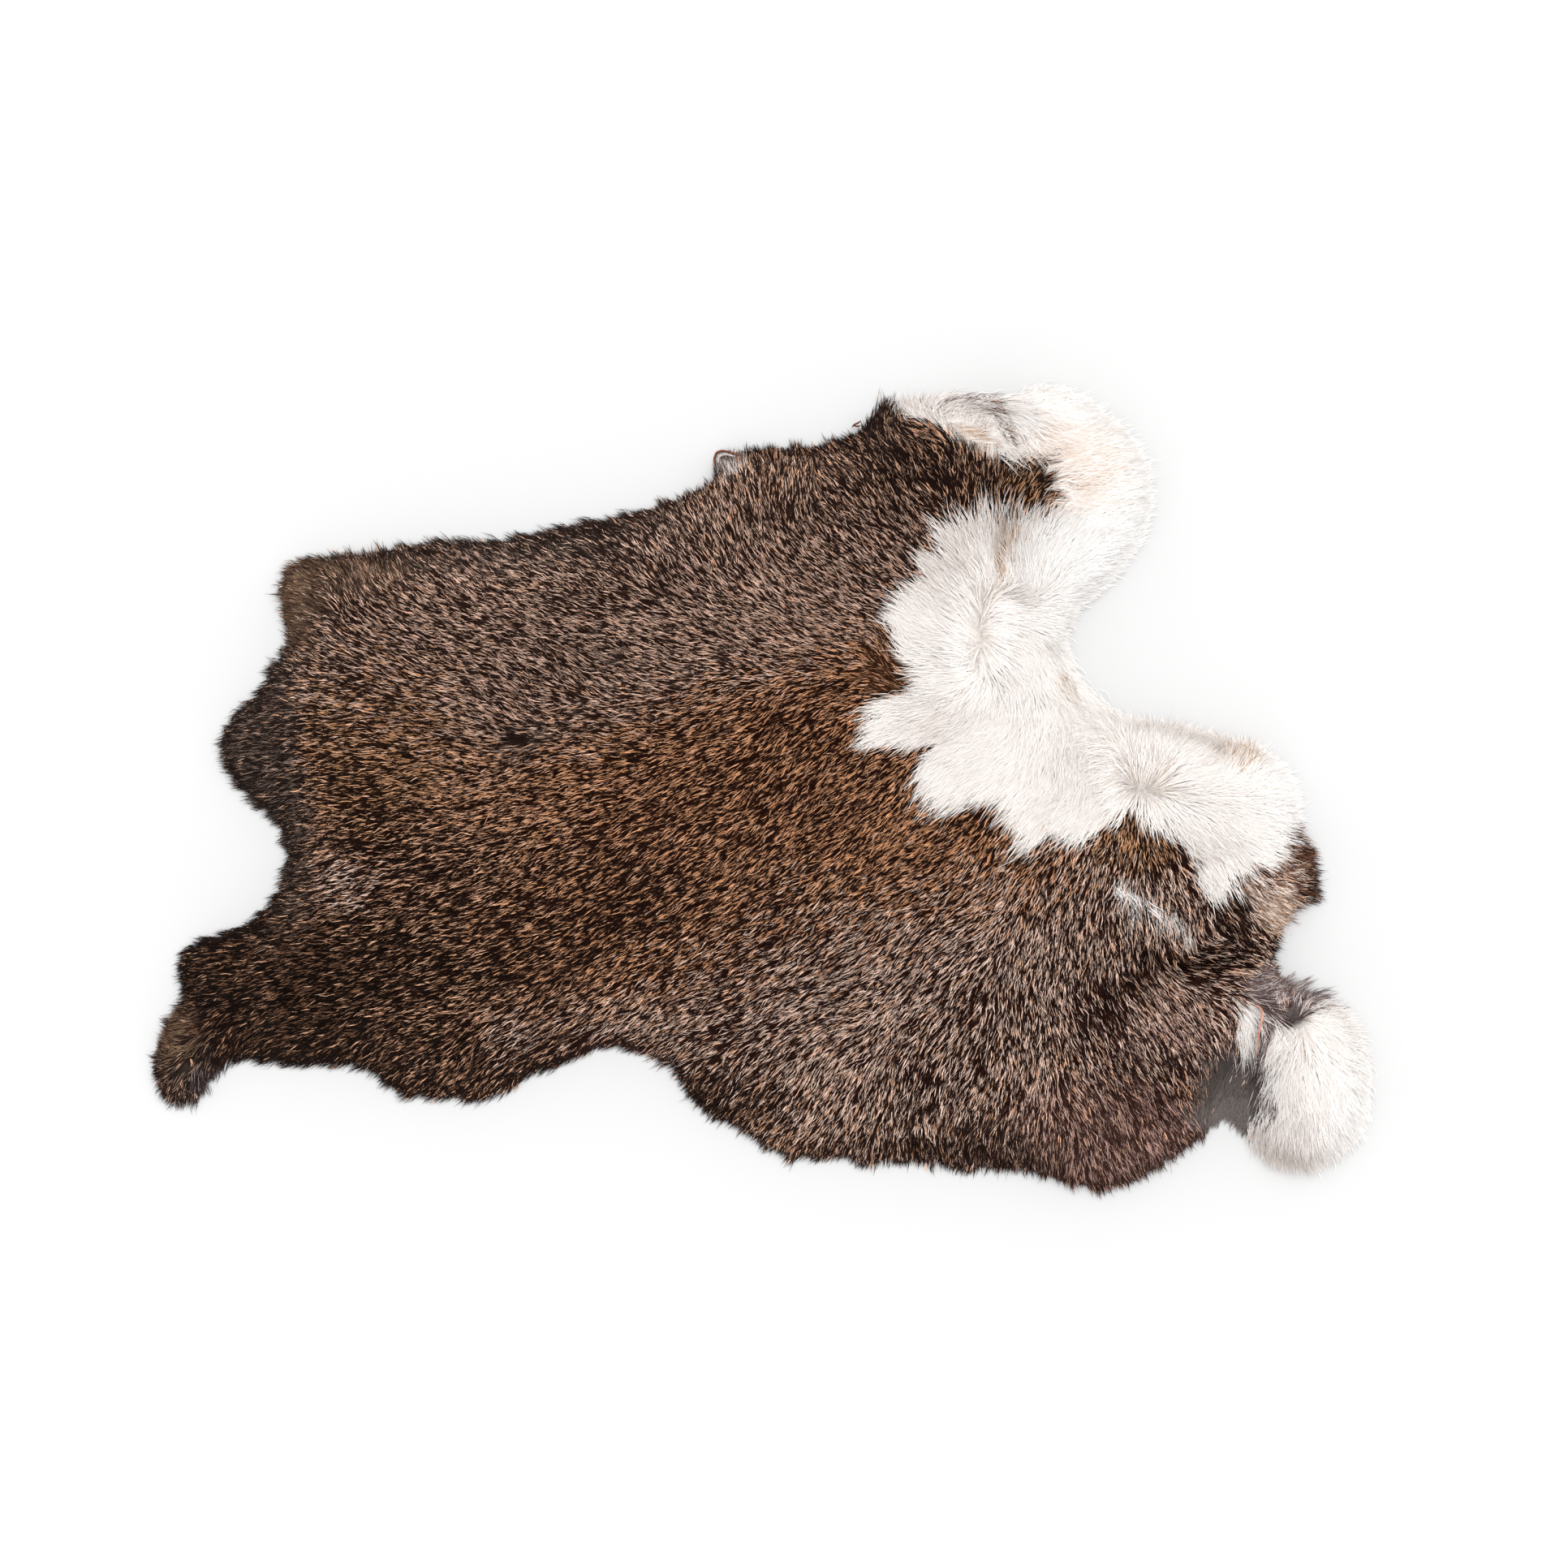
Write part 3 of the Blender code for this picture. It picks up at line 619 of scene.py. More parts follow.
def underfur():
    """Felted underfur in the root colour of the hair that grows through it."""
    material, shader, start = new_material("underfur", 0.95, 0.1)
    place = start.add("ShaderNodeTexCoord", {}, {}, "Object")
    grown = start.add("ShaderNodeAttribute", {"attribute_name": "undercoat"}, {}, "Color")
    fibres = place.noise(700.0, 4.0)
    shade = fibres.ramp(0.3, 0.75) * 0.3 + 0.7
    deep = start.add("ShaderNodeVectorMath", {"operation": "SCALE"}, {0: grown, "Scale": shade})
    raised = fibres.relief(0.0008)
    deep.feed(shader, "Base Color")
    raised.feed(shader, "Normal")
    return material


draw = np.random.default_rng(3)
x, y, border, squares = patch_inside(WOOL_CELL, WOOL_INSET)
top = read(form, x, y)
in_white = np.clip(read(white, x, y) * 5 - 4, 0, 1)
depth = WOOL_DEPTH[0] + in_white * (WOOL_DEPTH[1] - WOOL_DEPTH[0])
height = np.maximum(top - np.minimum(depth, WOOL_DEEPEST * top), WOOL_FLOOR)
for length, rise in WOOL_LUMPS:
    height += rise * waves(x, y, length, draw)
height = np.where(border, WOOL_EDGE, np.maximum(height, WOOL_FLOOR))
wool_mesh = bpy.data.meshes.new("wool")
wool_mesh.from_pydata(in_frame(x, y, height).tolist(), [], squares.tolist())
roots = np.array([tone(*row[1]) for row in COATS])
undercoat = odds_of(x, y, BROWN_PATCHES, "bark") @ roots * (1 - in_white)[:, None] * WOOL_SHADE
undercoat += odds_of(x, y, WHITE_PATCHES, "ivory") @ roots * in_white[:, None]
wool_mesh.attributes.new("undercoat", "FLOAT_COLOR", "POINT").data.foreach_set(
    "color", undercoat.ravel()
)
flat_map = np.stack([0.02 + 0.96 * (side - side.min()) / np.ptp(side) for side in (x, y)], axis=1)
wool_mesh.uv_layers.new(name="OFBake").uv.foreach_set("vector", flat_map[squares.ravel()].ravel())
wool = link_piece("wool", wool_mesh, underfur())
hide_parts("pelt")

# The hair: the coat itself, rooted in the wool and lying over towards the neck and the edges. It
# grows in clumps that draw together at their tips. Each hair is a blade of two triangles, from a point
# at its root over its widest place to its tip, and the whole coat is cut into bands across the skin.
CLUMP_SPACING = 0.63
HAIRS_IN_CLUMP = 2
CLUMP_RADIUS = 0.12
EVEN_BLUR = 1.8           # clumps over which the pale bands are evenly spread
RIM_SPACING = 0.82        # of the extra clumps along the edge
RIM_BAND = 5.0            # how far in those extra clumps go
ROOT_INSET = 1.2          # how far inside the edge the outermost hair is rooted
TURN_BAND = 7.0           # width along the edge over which the hair turns outwards
SHADE_BAND = 8.0          # width along the edge over which the coat darkens, for its dark tips and as painted shade
SEEN_AHEAD = 7.0          # from the root of a clump to where its colour shows
HANG = (7.5, 10.0)        # how far ahead of a root its marking is read, in brown and in white
OVERHANG = 15.0           # white hair lies on top where it turns brown this far ahead of it
PART_BEHIND = 5.0         # how far behind a root its lie is compared with the lie there
WIDEST = 0.6              # where a hair is widest and bends, as a share of its length
ROOT_DEPTH = (7.0, 4.5)   # under brown tops and under white ones
MIDDLE_DEPTH = 1.8
HAIR_WIDTH = (0.18, 0.28)
SCATTER = math.radians(6.0)     # between the hairs of a clump
TWIST = math.radians(34.0)      # of the blades about their length
STRAY_SHARE = 0.05        # of the hairs, which lie longer and apart from their clump
MIXED_SHARE = 0.12        # of the hairs, which belong to another coat, or have almost no band
MAP_HALF_WIDTH = 0.0009   # of a blade on the map
BANDS = ("fur_neck", "fur_shoulders", "fur_back", "fur_loin", "fur_rump")

# Lie of the hair: which way its tips point at a place, in degrees from +X towards +Y.
# Columns: x, y, toward.
GRAIN = (
    # Upper edge, from the neck to the tuft and the dark point.
    (-163, 66, 175), (-150, 66, 160), (-137, 64, 120), (-130, 74, 115), (-125, 56, 145),
    (-105, 72, 145), (-75, 72, 155), (-45, 84, 150), (-30, 78, 125), (-8, 85, 110), (-2, 104, 100),
    (12, 98, 90), (32, 112, 135), (30, 92, 135), (50, 98, 125),
    (43, 128, 75), (60, 118, 150), (52, 78, 140), (60, 90, 135), (60, 106, 125), (72, 104, 105),
    (80, 104, 85), (90, 104, 60), (99, 99, -20), (101, 106, 15), (90, 111, 5),
    # Shoulders and the rust point.
    (-150, 50, 160), (-120, 48, 160), (-90, 45, 165), (-60, 50, 165), (-30, 52, 165), (0, 50, 160),
    (10, 70, 135), (30, 70, 145), (30, 50, 165), (50, 68, 155), (50, 57, 160), (51, 44, 125),
    # Middle of the back.
    (-165, 20, 190), (-145, 28, 180), (-110, 22, 175), (-40, 25, 180), (-10, 25, 200), (12, 22, 220),
    (32, 32, 195), (34, 16, 220), (-136, 5, 185), (-110, 2, 185), (-60, -2, 195), (-25, 2, 205),
    (10, 0, 220), (45, 18, 210), (60, 6, 225), (85, 8, 220), (104, 2, 225),
    (-150, -20, 195), (-110, -20, 195), (-75, -20, 205), (-40, -20, 210), (0, -20, 215), (30, -20, 215),
    (60, -12, 220), (60, -30, 210), (90, -20, 230), (108, -25, 240),
    # Lower back and lower edge.
    (-190, -62, 190), (-150, -50, 190), (-115, -50, 200), (-80, -50, 200), (-45, -50, 210),
    (-10, -50, 210), (25, -50, 215), (55, -55, 220), (75, -45, 215), (-150, -75, 195), (-110, -75, 195),
    (-70, -75, 210), (-40, -78, 215), (-10, -80, 205), (20, -78, 210), (34, -74, 200), (50, -80, 230),
    (72, -78, 235), (-165, -92, 205), (-130, -95, 215), (-95, -95, 220), (-5, -98, 230), (25, -98, 235),
    (50, -100, 255),
    # Small lobe at the lower left, round its own whorl.
    (-194, -82, 190), (-206, -89, 130), (-209, -97, 190), (-204, -106, 235), (-196, -107, 265),
    (-190, -100, 285), (-187, -90, 250),
    # Rump and haunch.
    (92, -50, 250), (110, -50, 265), (128, -45, 275), (121, -25, 255), (90, -78, 275), (110, -78, 295),
    (130, -74, 305), (150, -78, 305), (72, -105, 245), (92, -100, 260), (112, -100, 300),
    (130, -100, 300), (60, -118, 270), (95, -120, 265), (125, -118, 295), (143, -110, 300),
    (118, -20, 240), (127, -18, 265), (136, -22, 285), (146, -24, 305), (144, -38, 280),
    (160, -42, 305), (152, -60, 355), (172, -55, 330), (172, -35, 335), (186, -31, 355),
    # White haunch, round its whorl.
    (122, -5, 220), (131, -8, 270), (140, -8, 310), (150, -16, 320), (157, -26, 295), (165, -18, 340),
    (175, 3, 10), (152, 11, 45), (142, 2, 20), (132, 4, 80), (127, 15, 95), (115, 12, 275),
    (116, 2, 250), (104, 10, 265), (121, 14, 190), (122, 4, 200), (108, -5, 230), (160, 13, 125),
    (166, 13, 85), (171, 12, 50),
    # White bib, parted along its seam and under its big lock.
    (62, 60, 145), (74, 66, 140), (74, 58, 145), (73, 50, 150), (72, 43, 160), (64, 76, 140), (62, 38, 180),
    (71, 38, 190), (74, 78, 120), (77, 90, 100), (80, 97, 90), (81, 75, 98), (86, 72, 115),
    (85, 84, 92), (88, 95, 65), (93, 84, 72), (99, 92, 40), (98, 76, 45), (93, 67, 95), (79, 61, -5),
    (78, 54, -20), (77, 46, -45), (92, 60, -10), (82, 52, -30), (82, 44, -45), (91, 46, -75),
    (88, 36, -95), (98, 44, -50), (79, 33, -115), (84, 22, 215), (70, 22, 205), (98, 20, 250),
    # White shoulder lobe and the strip over the dark point.
    (114, 86, 20), (108, 68, 0), (124, 66, -10), (98, 60, 0), (106, 50, -30), (100, 38, -50),
    (116, 112, 10), (130, 98, 10), (68, 126, -15), (82, 128, -60), (85, 120, -60), (94, 130, -5),
    (116, 128, 20),
    # Tail, its root and the wisps on top of it.
    (174, -69, 30), (181, -77, 85), (184, -72, 35), (192, -72, 5), (168, -82, 268), (174, -84, 262),
    (170, -98, 240), (164, -106, 245), (182, -85, 240), (176, -93, 252), (173, -105, 250),
    (170, -115, 255), (178, -112, 262), (186, -100, 285), (186, -118, 278), (195, -120, 300),
    (190, -84, 320), (200, -82, 10), (205, -95, 320), (205, -108, 305), (198, -130, 285),
    (178, -128, 265),
    # Round the two partings of the back.
    (-80, 25, 140), (-88, 24, 155), (-73, 20, 175), (-92, 15, 175), (-84, 8, 195), (-76, 11, 195),
    (-61, 38, 145), (-54, 33, 150), (-52, 26, 180), (-46, 34, 165), (-60, 24, 190),
)
# Partings: where the coat opens down to the wool. Columns: x, y, radius.
PARTINGS = ((-86, 16, 2.1), (-83, 15, 1.8), (-59, 44, 1.6), (-197, -96, 1.8))
GRAIN_BLEND = 8.0


def lie_at(x, y):
    """Which way the tips of the hair point at each place, in radians."""
    grain_x, grain_y, toward = np.array(GRAIN, dtype=float).T
    weight = 1.0 / ((x[:, None] - grain_x) ** 2 + (y[:, None] - grain_y) ** 2 + GRAIN_BLEND) ** 2
    angle = np.radians(toward)
    return np.arctan2(weight @ np.sin(angle), weight @ np.cos(angle))


def clump_places(spacing, draw):
    """Uneven rows of places all over the skin, and a share for each that differs from its neighbours'."""
    rows = np.arange(GRID_BOTTOM, GRID_BOTTOM + GRID_ROWS, spacing * math.sqrt(0.75))
    columns = np.arange(GRID_LEFT, GRID_LEFT + GRID_COLUMNS, spacing)
    x, y = np.meshgrid(columns, rows)
    x = x + spacing * 0.5 * (np.arange(len(rows)) % 2)[:, None]
    rough = draw.random(x.shape)
    order = (rough - soften(rough, EVEN_BLUR)).ravel().argsort().argsort()
    x, y = x.ravel(), y.ravel()
    x, y = (side + draw.uniform(-0.45, 0.45, len(side)) * spacing for side in (x, y))
    return x, y, order / len(order)


def ahead(x, y, lie, distance):
    """Places at a distance from the given ones, the way the hair points there."""
    return x + distance * np.cos(lie), y + distance * np.sin(lie)


def pick(odds, draw):
    """One coat for each row of odds."""
    return (odds.cumsum(axis=1) < draw.random(len(odds))[:, None]).sum(axis=1).clip(0, len(COATS) - 1)


# Where the clumps stand.
draw = np.random.default_rng(5)
inner = np.array(clump_places(CLUMP_SPACING, draw))
edge = np.array(clump_places(RIM_SPACING, draw))
edge = edge[:, read(rim, edge[0], edge[1]) < RIM_BAND]
x, y, evenly = np.concatenate([inner, edge], axis=1)
rooted = read(rim, x, y) > ROOT_INSET
x, y, evenly = x[rooted], y[rooted], evenly[rooted]
clumps = len(x)
inset = read(rim, x, y)

# Which way each clump lies: with the grain, and outwards near the edge.
lie = lie_at(x, y)
towards = inward_at(x, y)
outward = -(towards[:, 0] * np.cos(lie) + towards[:, 1] * np.sin(lie))
turn_out = np.clip(0.55 - outward, 0, 1.2) * np.clip(1 - inset / TURN_BAND, 0, 1)
lie = np.arctan2(np.sin(lie) - towards[:, 1] * turn_out, np.cos(lie) - towards[:, 0] * turn_out)

# Which coat it belongs to, read ahead of its root, where its colour shows.
ticked, paleness, lengths, drawn, uneven = np.array([row[4:] for row in COATS]).T
seen_x, seen_y = ahead(x, y, lie, SEEN_AHEAD)
brown_odds = odds_of(seen_x, seen_y, BROWN_PATCHES, "bark")
white_odds = odds_of(seen_x, seen_y, WHITE_PATCHES, "ivory")
root_white = read(white, x, y) > 0.5
hang = np.where(root_white, HANG[1], HANG[0])
hang += 2.2 * waves(x, y, 3.5, draw)
hang += draw.normal(0, 0.8, clumps)
is_white = read(white, *ahead(x, y, lie, hang)) > 0.5 + draw.uniform(-0.3, 0.3, clumps)
overhangs = is_white & (read(white, *ahead(x, y, lie, OVERHANG)) < 0.5)
under_white = ~is_white & root_white
odds = np.where(is_white[:, None], white_odds, brown_odds)
coat = pick(odds, draw)
other_coat = pick(odds, draw)

# Where the white coat parts no hair comes over from behind, and its roots stand nearly as high as it.
behind_x, behind_y = ahead(x, y, lie, -PART_BEHIND)
lie_behind = lie_at(behind_x[is_white], behind_y[is_white])
parted = np.zeros(clumps)
parted[is_white] = np.clip(1.0 - np.cos(lie_behind - lie[is_white]), 0, 1)
sway = 4.0 * waves(x, y, 30.0, draw) + 4.0 * waves(x, y, 12.0, draw) + 7.0 * draw.normal(size=clumps)
lie += np.radians(sway) * (0.3 + 0.7 * uneven[coat])

# Whether it carries the pale band, and how much of it is pale.
mottle = 0.06 * waves(x, y, 9.0, draw)
# Fewer pale bands towards the edge: partly the dark tips seen end-on there, and partly painted shade.
mottle -= 0.35 * np.clip(1.3 - inset / SHADE_BAND, 0, 1)
for place_x, place_y, radius, more in TICKING:
    mottle += more * np.exp(-((seen_x - place_x) ** 2 + (seen_y - place_y) ** 2) / radius ** 2)
has_band = evenly < ticked[coat] + mottle
pale = np.where(has_band, paleness[coat] + draw.normal(0, 0.13, clumps), draw.uniform(0.0, 0.22, clumps))

# How long it is, how high it lies, how it bends and how far past the edge it may reach.
length = lengths[coat] * draw.uniform(0.8, 1.2, clumps)
length[overhangs & (draw.random(clumps) < 0.12)] *= 1.2
lift = uneven[coat] * (draw.normal(0, 0.8, clumps) + 0.8 * waves(x, y, 7.0, draw))
lift += 1.5 * overhangs - 1.6 * under_white + 0.5 * (has_band & ~is_white)
curl = draw.normal(0, 0.07, clumps)
reach = -1.4 + 1.3 * waves(x, y, 8.0, draw) + 1.0 * waves(x, y, 3.5, draw) + draw.normal(0, 0.5, clumps)
reach += 2.4 * draw.random(clumps) ** 4
reach += 1.2 * draw.random(clumps) * np.clip(towards[:, 1], 0, 1)
reach = np.where(is_white, draw.uniform(-2.5, 1.5, clumps), reach)

# Locks that lie over the rest in their own way.
# Columns: x, y, toward, spread, clumps, length, coat, raised.
LOCKS = (
    (41.5, 127, 84, 0.9, 14, 9.5, "sooty", 0.5),
    (43, 127, 72, 0.8, 12, 9.5, "umber", 0.5),
    (27, 116, 115, 1.2, 14, 6.0, "umber", 0.5),
    (78, 87, 96, 2.0, 16, 13.0, "ivory", 1.0),
    (84, 88, 78, 2.0, 14, 13.0, "ivory", 1.0),
    (91, 88, 58, 2.0, 14, 12.0, "ivory", 1.0),
    (71, 85, 118, 2.0, 14, 13.0, "ivory", 1.0),
    (87, 72, 125, 1.6, 12, 12.0, "cream", 1.2),
    (90, 111, 2, 0.7, 6, 14.0, "umber", 1.0),
    (81, 132, -50, 0.5, 4, 6.0, "russet", 1.5),
    (80, 125, -50, 1.0, 6, 8.0, "russet", 1.5),
    (88, 133, 185, 0.4, 3, 8.0, "russet", 1.5),
    (129, -3, 262, 1.0, 12, 8.0, "ivory", 1.5),
    (133, -3, 275, 1.0, 12, 9.0, "ivory", 1.5),
    (136, -4, 300, 1.0, 10, 10.0, "ivory", 1.5),
    (121, -31, -62, 0.7, 10, 9.0, "ivory", 1.8),
    (125, -34, -58, 0.9, 13, 10.0, "ivory", 1.8),
    (130, -38, -45, 0.8, 11, 11.0, "ivory", 1.8),
    (136, -42, -40, 0.8, 8, 10.0, "pearl", 1.4),
    (101, 42, -58, 1.5, 10, 9.0, "tan", 0.5),
    (181.5, -81, 75, 0.8, 18, 6.0, "smoke", 1.5),
    (183, -76, 40, 0.9, 14, 9.0, "ash", 1.5),
    (187, -73, 14, 0.8, 12, 12.0, "ash", 1.5),
    (186, -75, 4, 1.0, 8, 16.0, "mauve", 1.5),
    (179, -69, 35, 1.2, 8, 11.0, "mauve", 1.0),
    (184, -69, 22, 1.0, 7, 13.0, "mauve", 1.0),
    (184, -24, 4, 1.2, 10, 9.0, "russet", 0.6),
    (187, -35, -26, 1.0, 14, 9.0, "russet", 0.6),
    (178, -44, -14, 1.2, 14, 8.0, "sand", 0.6),
    (175, -51, -24, 1.2, 12, 7.0, "frosted", 0.6),
    (173, -58, -28, 1.0, 10, 7.0, "fawn", 0.6),
    (151, -25, -74, 1.6, 12, 13.0, "ivory", 1.4),
    (158, -28, -60, 1.6, 12, 13.0, "ivory", 1.4),
    (165, -30, -50, 1.6, 12, 15.0, "sand", 1.4),
    (186, -39, -6, 0.9, 14, 9.0, "slate", 0.6),
    (182, -20, 4, 1.6, 10, 10.0, "russet", 0.8),
    (165, -95, 240, 1.2, 8, 9.0, "frosted", 1.2),
    (169, -97, 240, 1.0, 6, 9.0, "frosted", 1.2),
    (173, -94, 245, 1.4, 16, 11.0, "ash", 0.8),
    (168.5, -94, 240, 1.4, 12, 10.0, "mauve", 0.8),
    (175, -101, 250, 1.2, 14, 12.0, "ash", 1.0),
    (177, -104, 258, 0.8, 5, 12.0, "ash", 1.0),
)
named = [row[:6] + (COAT_NAMES.index(row[6]), row[7]) for row in LOCKS]
locks = np.repeat(np.array(named), [row[4] for row in LOCKS], axis=0)
lock_x, lock_y, lock_toward, lock_spread, _, lock_length, lock_coat, lock_raised = locks.T
count = len(locks)
x = np.append(x, lock_x + lock_spread * draw.normal(size=count))
y = np.append(y, lock_y + lock_spread * draw.normal(size=count))
lie = np.append(lie, np.radians(lock_toward + 6.0 * draw.normal(size=count)))
coat, other_coat = (np.append(grown, lock_coat.astype(int)) for grown in (coat, other_coat))
is_white = np.append(is_white, np.zeros(count, dtype=bool))
pale = np.append(pale, draw.uniform(0.0, 0.6, count))
length = np.append(length, lock_length * draw.uniform(0.8, 1.1, count))
lift = np.append(lift, lock_raised + draw.normal(0, 0.4, count))
curl = np.append(curl, draw.normal(0, 0.05, count))
reach = np.append(reach, draw.uniform(2.0, 6.0, count))
parted = np.append(parted, np.zeros(count))
clumps = len(x)

# The hairs of each clump, rooted round its middle and drawn together at their tips.
of = np.repeat(np.arange(clumps), HAIRS_IN_CLUMP)
hairs = len(of)
angle = draw.uniform(0, 2 * math.pi, hairs)
spread = CLUMP_RADIUS * np.sqrt(draw.random(hairs))
root_x, root_y = ahead(x[of], y[of], angle, spread)
own_lie = lie[of] + SCATTER * draw.normal(size=hairs)
own_length = length[of] * draw.uniform(0.72, 1.1, hairs)
stray = draw.random(hairs) < STRAY_SHARE
own_length[stray] *= 1.2
pull = np.where(stray, 0.0, drawn[coat][of])
tip_x, tip_y = ahead(root_x, root_y, own_lie, own_length)
clump_tip_x, clump_tip_y = ahead(x[of], y[of], lie[of], own_length)
tip_x += pull * (clump_tip_x - tip_x)
tip_y += pull * (clump_tip_y - tip_y)

# A hair that would reach further past the edge than it may is drawn back.
allowed = reach[of] + draw.normal(0, 0.8, hairs)
root_in, tip_out = -read(rim, root_x, root_y), -read(rim, tip_x, tip_y)
kept = np.clip((allowed - root_in) / np.maximum(tip_out - root_in, 0.01), 0.2, 1.0)
kept = np.where(tip_out > allowed, kept, 1.0)
tip_x, tip_y = root_x + kept * (tip_x - root_x), root_y + kept * (tip_y - root_y)

# Its widest place is bent aside and drawn some way towards the middle of the clump.
bend = (curl[of] + draw.normal(0, 0.03, hairs)) * own_length * kept
gather = 0.35 * pull
from_axis_x, from_axis_y = spread * np.cos(angle), spread * np.sin(angle)
mid_x = root_x + WIDEST * (tip_x - root_x) - bend * np.sin(own_lie) - gather * from_axis_x
mid_y = root_y + WIDEST * (tip_y - root_y) + bend * np.cos(own_lie) - gather * from_axis_y

# Heights: the root deep in the pile, the widest place and the tip near its surface.
raised = lift[of] + draw.normal(0, 0.35, hairs) + stray * 0.9
root_top = read(form, root_x, root_y)
mid_top = read(form, mid_x, mid_y)
tip_top = read(form, tip_x, tip_y)
root_depth = (np.where(is_white, ROOT_DEPTH[1], ROOT_DEPTH[0]) * (1 - 0.85 * parted))[of]
root_z = np.maximum(root_top - np.minimum(root_depth, 0.6 * root_top), 1.0)
over_wool = np.clip(read(rim, mid_x, mid_y) / WOOL_INSET, 0, 1)
mid_depth = MIDDLE_DEPTH * (1 - 0.7 * parted[of])
mid_z = np.maximum(mid_top - mid_depth + 0.6 * raised, 1.0 + 1.2 * over_wool + draw.random(hairs))
tip_z = np.maximum(tip_top - 0.3 + raised, 0.5 + 1.2 * over_wool + 0.9 * root_z * draw.random(hairs))
roll = TWIST * (0.15 + 0.8 * uneven[coat][of]) * draw.normal(size=hairs)
half_width = draw.uniform(*HAIR_WIDTH, hairs) / 2
across = np.stack([
    -np.sin(own_lie) * np.cos(roll) * half_width,
    np.cos(own_lie) * np.cos(roll) * half_width,
    np.sin(roll) * half_width,
], axis=1) * MM

# The place on the map: the column of its coat, and within it how pale the hair is.
own_coat = np.where(draw.random(hairs) < MIXED_SHARE, other_coat[of], coat[of])
own_pale = np.clip(pale[of] + draw.normal(0, 0.06, hairs), 0, 1)
own_pale = np.where(draw.random(hairs) < MIXED_SHARE, own_pale * 0.2, own_pale)
own_pale = np.where(ticked[own_coat] == 1.0, np.maximum(own_pale, 0.45), own_pale)
map_x = (own_coat + COLUMN_EDGE + (1 - 2 * COLUMN_EDGE) * own_pale) / len(COATS)

# No hair lies over a parting.
open_coat = np.zeros(hairs, dtype=bool)
for part_x, part_y, radius in PARTINGS:
    for place_x, place_y in ((tip_x, tip_y), (mid_x, mid_y)):
        open_coat |= np.hypot(place_x - part_x, place_y - part_y) < radius


def blades(name, chosen, material):
    """The chosen hairs as one piece."""
    count = len(chosen)
    corners = np.empty((count, 4, 3))
    middle = in_frame(mid_x, mid_y, mid_z)[chosen]
    corners[:, 0] = in_frame(root_x, root_y, root_z)[chosen]
    corners[:, 1] = middle - across[chosen]
    corners[:, 2] = middle + across[chosen]
    corners[:, 3] = in_frame(tip_x, tip_y, tip_z)[chosen]
    places = np.empty((count, 4, 2))
    places[:, :, 0] = map_x[chosen][:, None] + np.array([0.0, -MAP_HALF_WIDTH, MAP_HALF_WIDTH, 0.0])
    places[:, :, 1] = (HAIR_ENDS[0], WIDEST, WIDEST, HAIR_ENDS[1])
    loops = (np.array([0, 2, 1, 1, 2, 3]) + 4 * np.arange(count)[:, None]).ravel()
    mesh = bpy.data.meshes.new(name)
    mesh.vertices.add(4 * count)
    mesh.vertices.foreach_set("co", corners.ravel())
    mesh.loops.add(6 * count)
    mesh.loops.foreach_set("vertex_index", loops)
    mesh.polygons.add(2 * count)
    mesh.polygons.foreach_set("loop_start", np.arange(2 * count) * 3)
    mesh.uv_layers.new(name="OFBake").uv.foreach_set("vector", places.reshape(-1, 2)[loops].ravel())
    mesh.update(calc_edges=True)
    piece = link_piece(name, mesh, material)
    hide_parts("pelt")


finish = hair_finish()
limits = np.quantile(root_x, np.arange(1, len(BANDS)) / len(BANDS))
band_of = np.searchsorted(limits, root_x)
for index, name in enumerate(BANDS):
    blades(name, np.flatnonzero((band_of == index) & ~open_coat), finish)

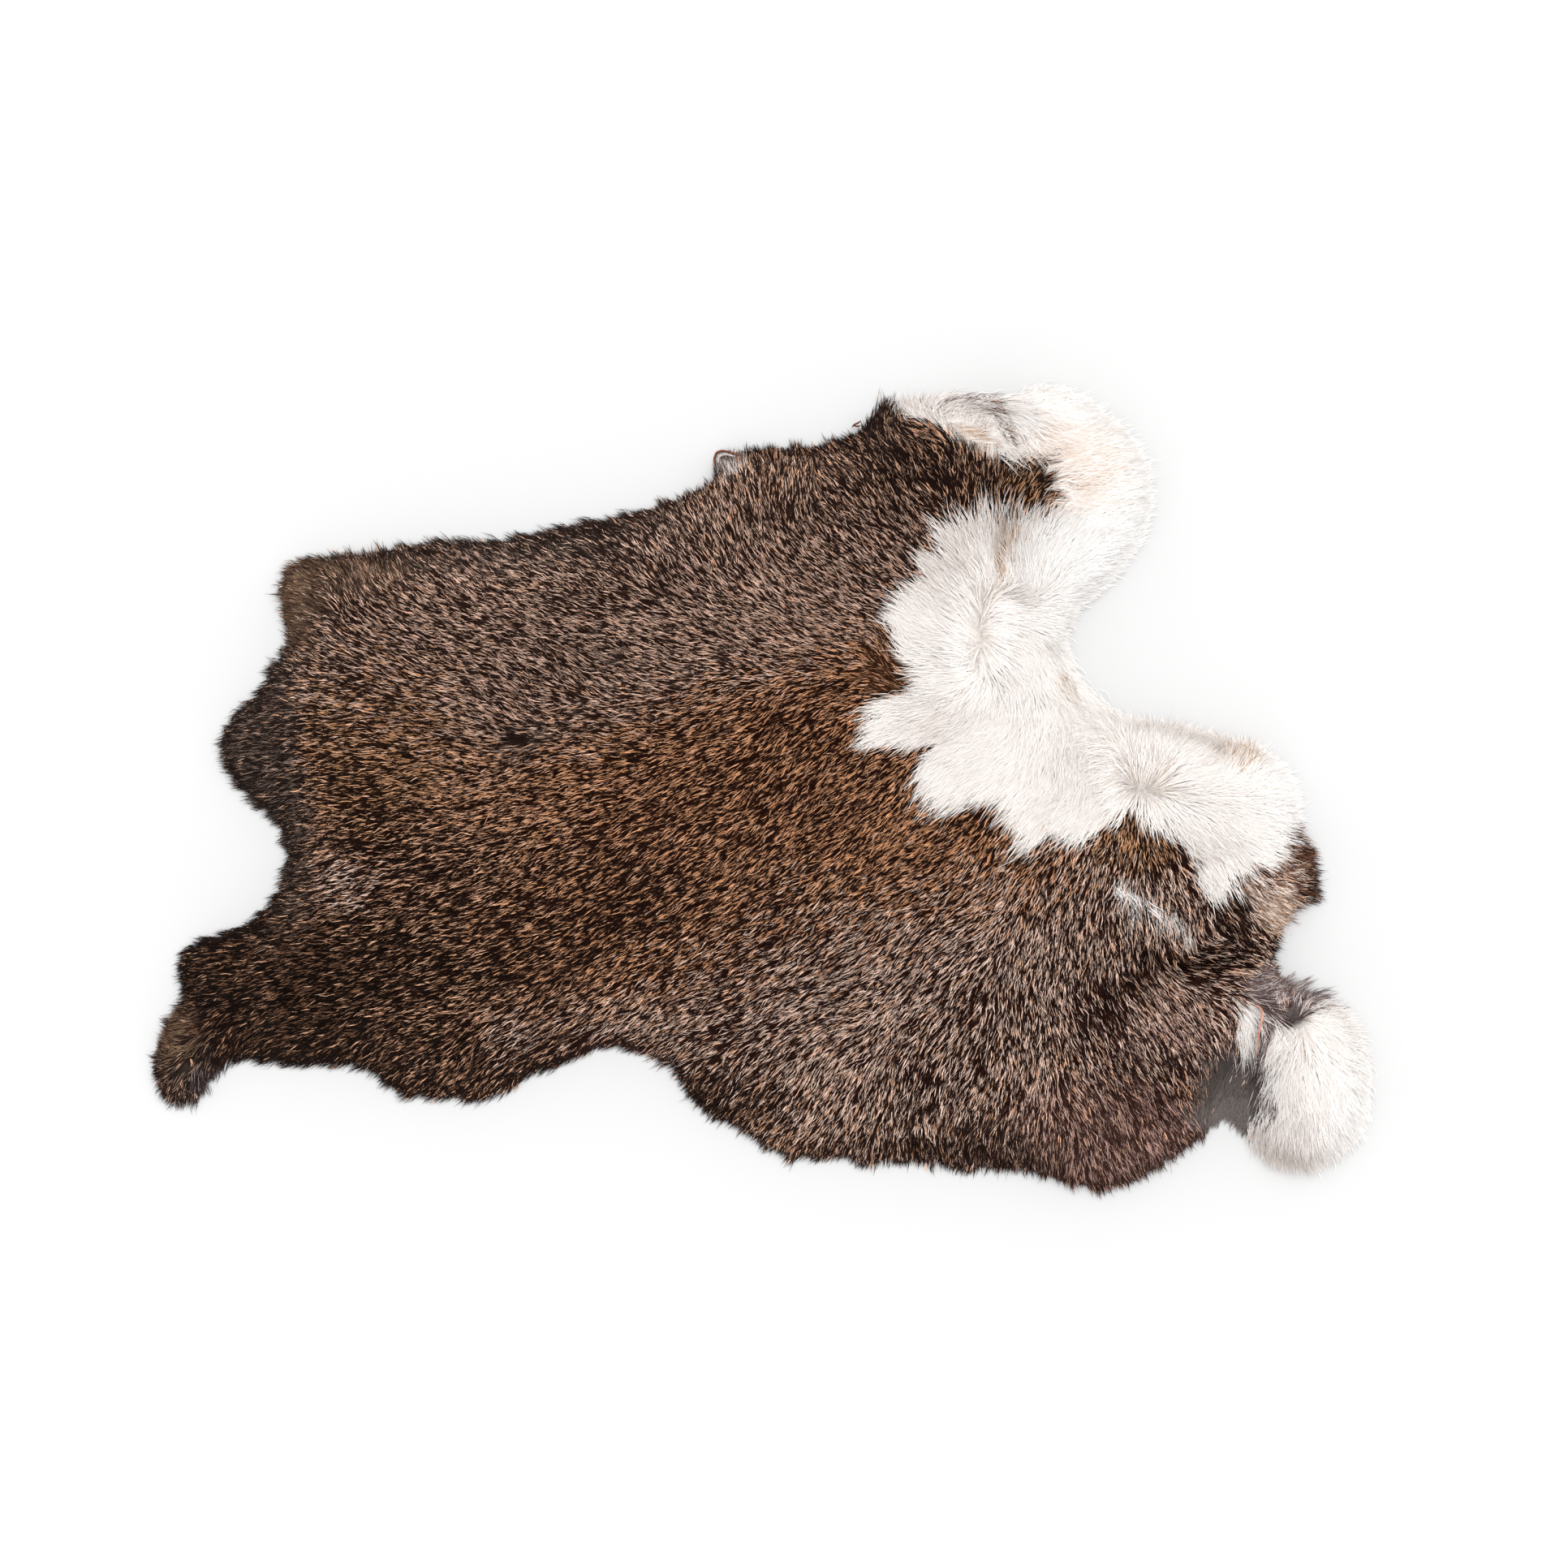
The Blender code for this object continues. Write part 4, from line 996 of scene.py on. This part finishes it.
# The floor is plain and white, and runs on past the view.
FLOOR_SIDE = 6.0
FLOOR_COLOUR = (0.65, 0.65, 0.65, 1.0)
bpy.ops.mesh.primitive_plane_add(size=FLOOR_SIDE, location=(0, 0, 0))
floor = bpy.context.object
floor.name = "floor"
floor_paint, shader, _ = new_material("floor_white", 0.9, 0.0)
shader.inputs["Base Color"].default_value = FLOOR_COLOUR
floor.data.materials.append(floor_paint)

# Light: an even white studio, and one large soft light from the upper right.
STUDIO_STRENGTH = 1.14
KEY_STRENGTH = 1.5
KEY_ANGLE = math.radians(35)     # how wide the light looks from the skin
KEY_PLACE = (0.2, 0.55, 1.5)
studio = bpy.data.worlds.new("studio")
studio.use_nodes = True
backdrop = studio.node_tree.nodes["Background"]
backdrop.inputs["Color"].default_value = (1.0, 1.0, 1.0, 1.0)
backdrop.inputs["Strength"].default_value = STUDIO_STRENGTH
bpy.context.scene.world = studio
key_data = bpy.data.lights.new("key", "SUN")
key_data.angle = KEY_ANGLE
key_data.energy = KEY_STRENGTH
key = bpy.data.objects.new("key", key_data)
key.location = KEY_PLACE
key.rotation_euler = (-key.location).to_track_quat("-Z", "Y").to_euler()
bpy.context.scene.collection.objects.link(key)
bpy.context.scene.view_settings.view_transform = "Standard"

# The camera looks straight down, as in the photograph, whose 1932 pixels are 0.28 mm each here.
PIXEL = 0.28
PHOTO_SIDE = 1932
ZERO_PIXEL = (936.5, 969)     # where the tables' millimetres start, in the photograph
SENSOR_WIDTH = 36.0
CAMERA_HEIGHT = 2.2
camera_data = bpy.data.cameras.new("camera")
camera_data.sensor_width = SENSOR_WIDTH
camera_data.lens = SENSOR_WIDTH * CAMERA_HEIGHT / (PHOTO_SIDE * PIXEL * MM)
camera = bpy.data.objects.new("camera", camera_data)
middle_x = (PHOTO_SIDE / 2 - ZERO_PIXEL[0]) * PIXEL
middle_y = (ZERO_PIXEL[1] - PHOTO_SIDE / 2) * PIXEL
camera.location = ((middle_x - SKIN_MIDDLE[0]) * MM, (middle_y - SKIN_MIDDLE[1]) * MM, CAMERA_HEIGHT)
bpy.context.scene.collection.objects.link(camera)
bpy.context.scene.camera = camera
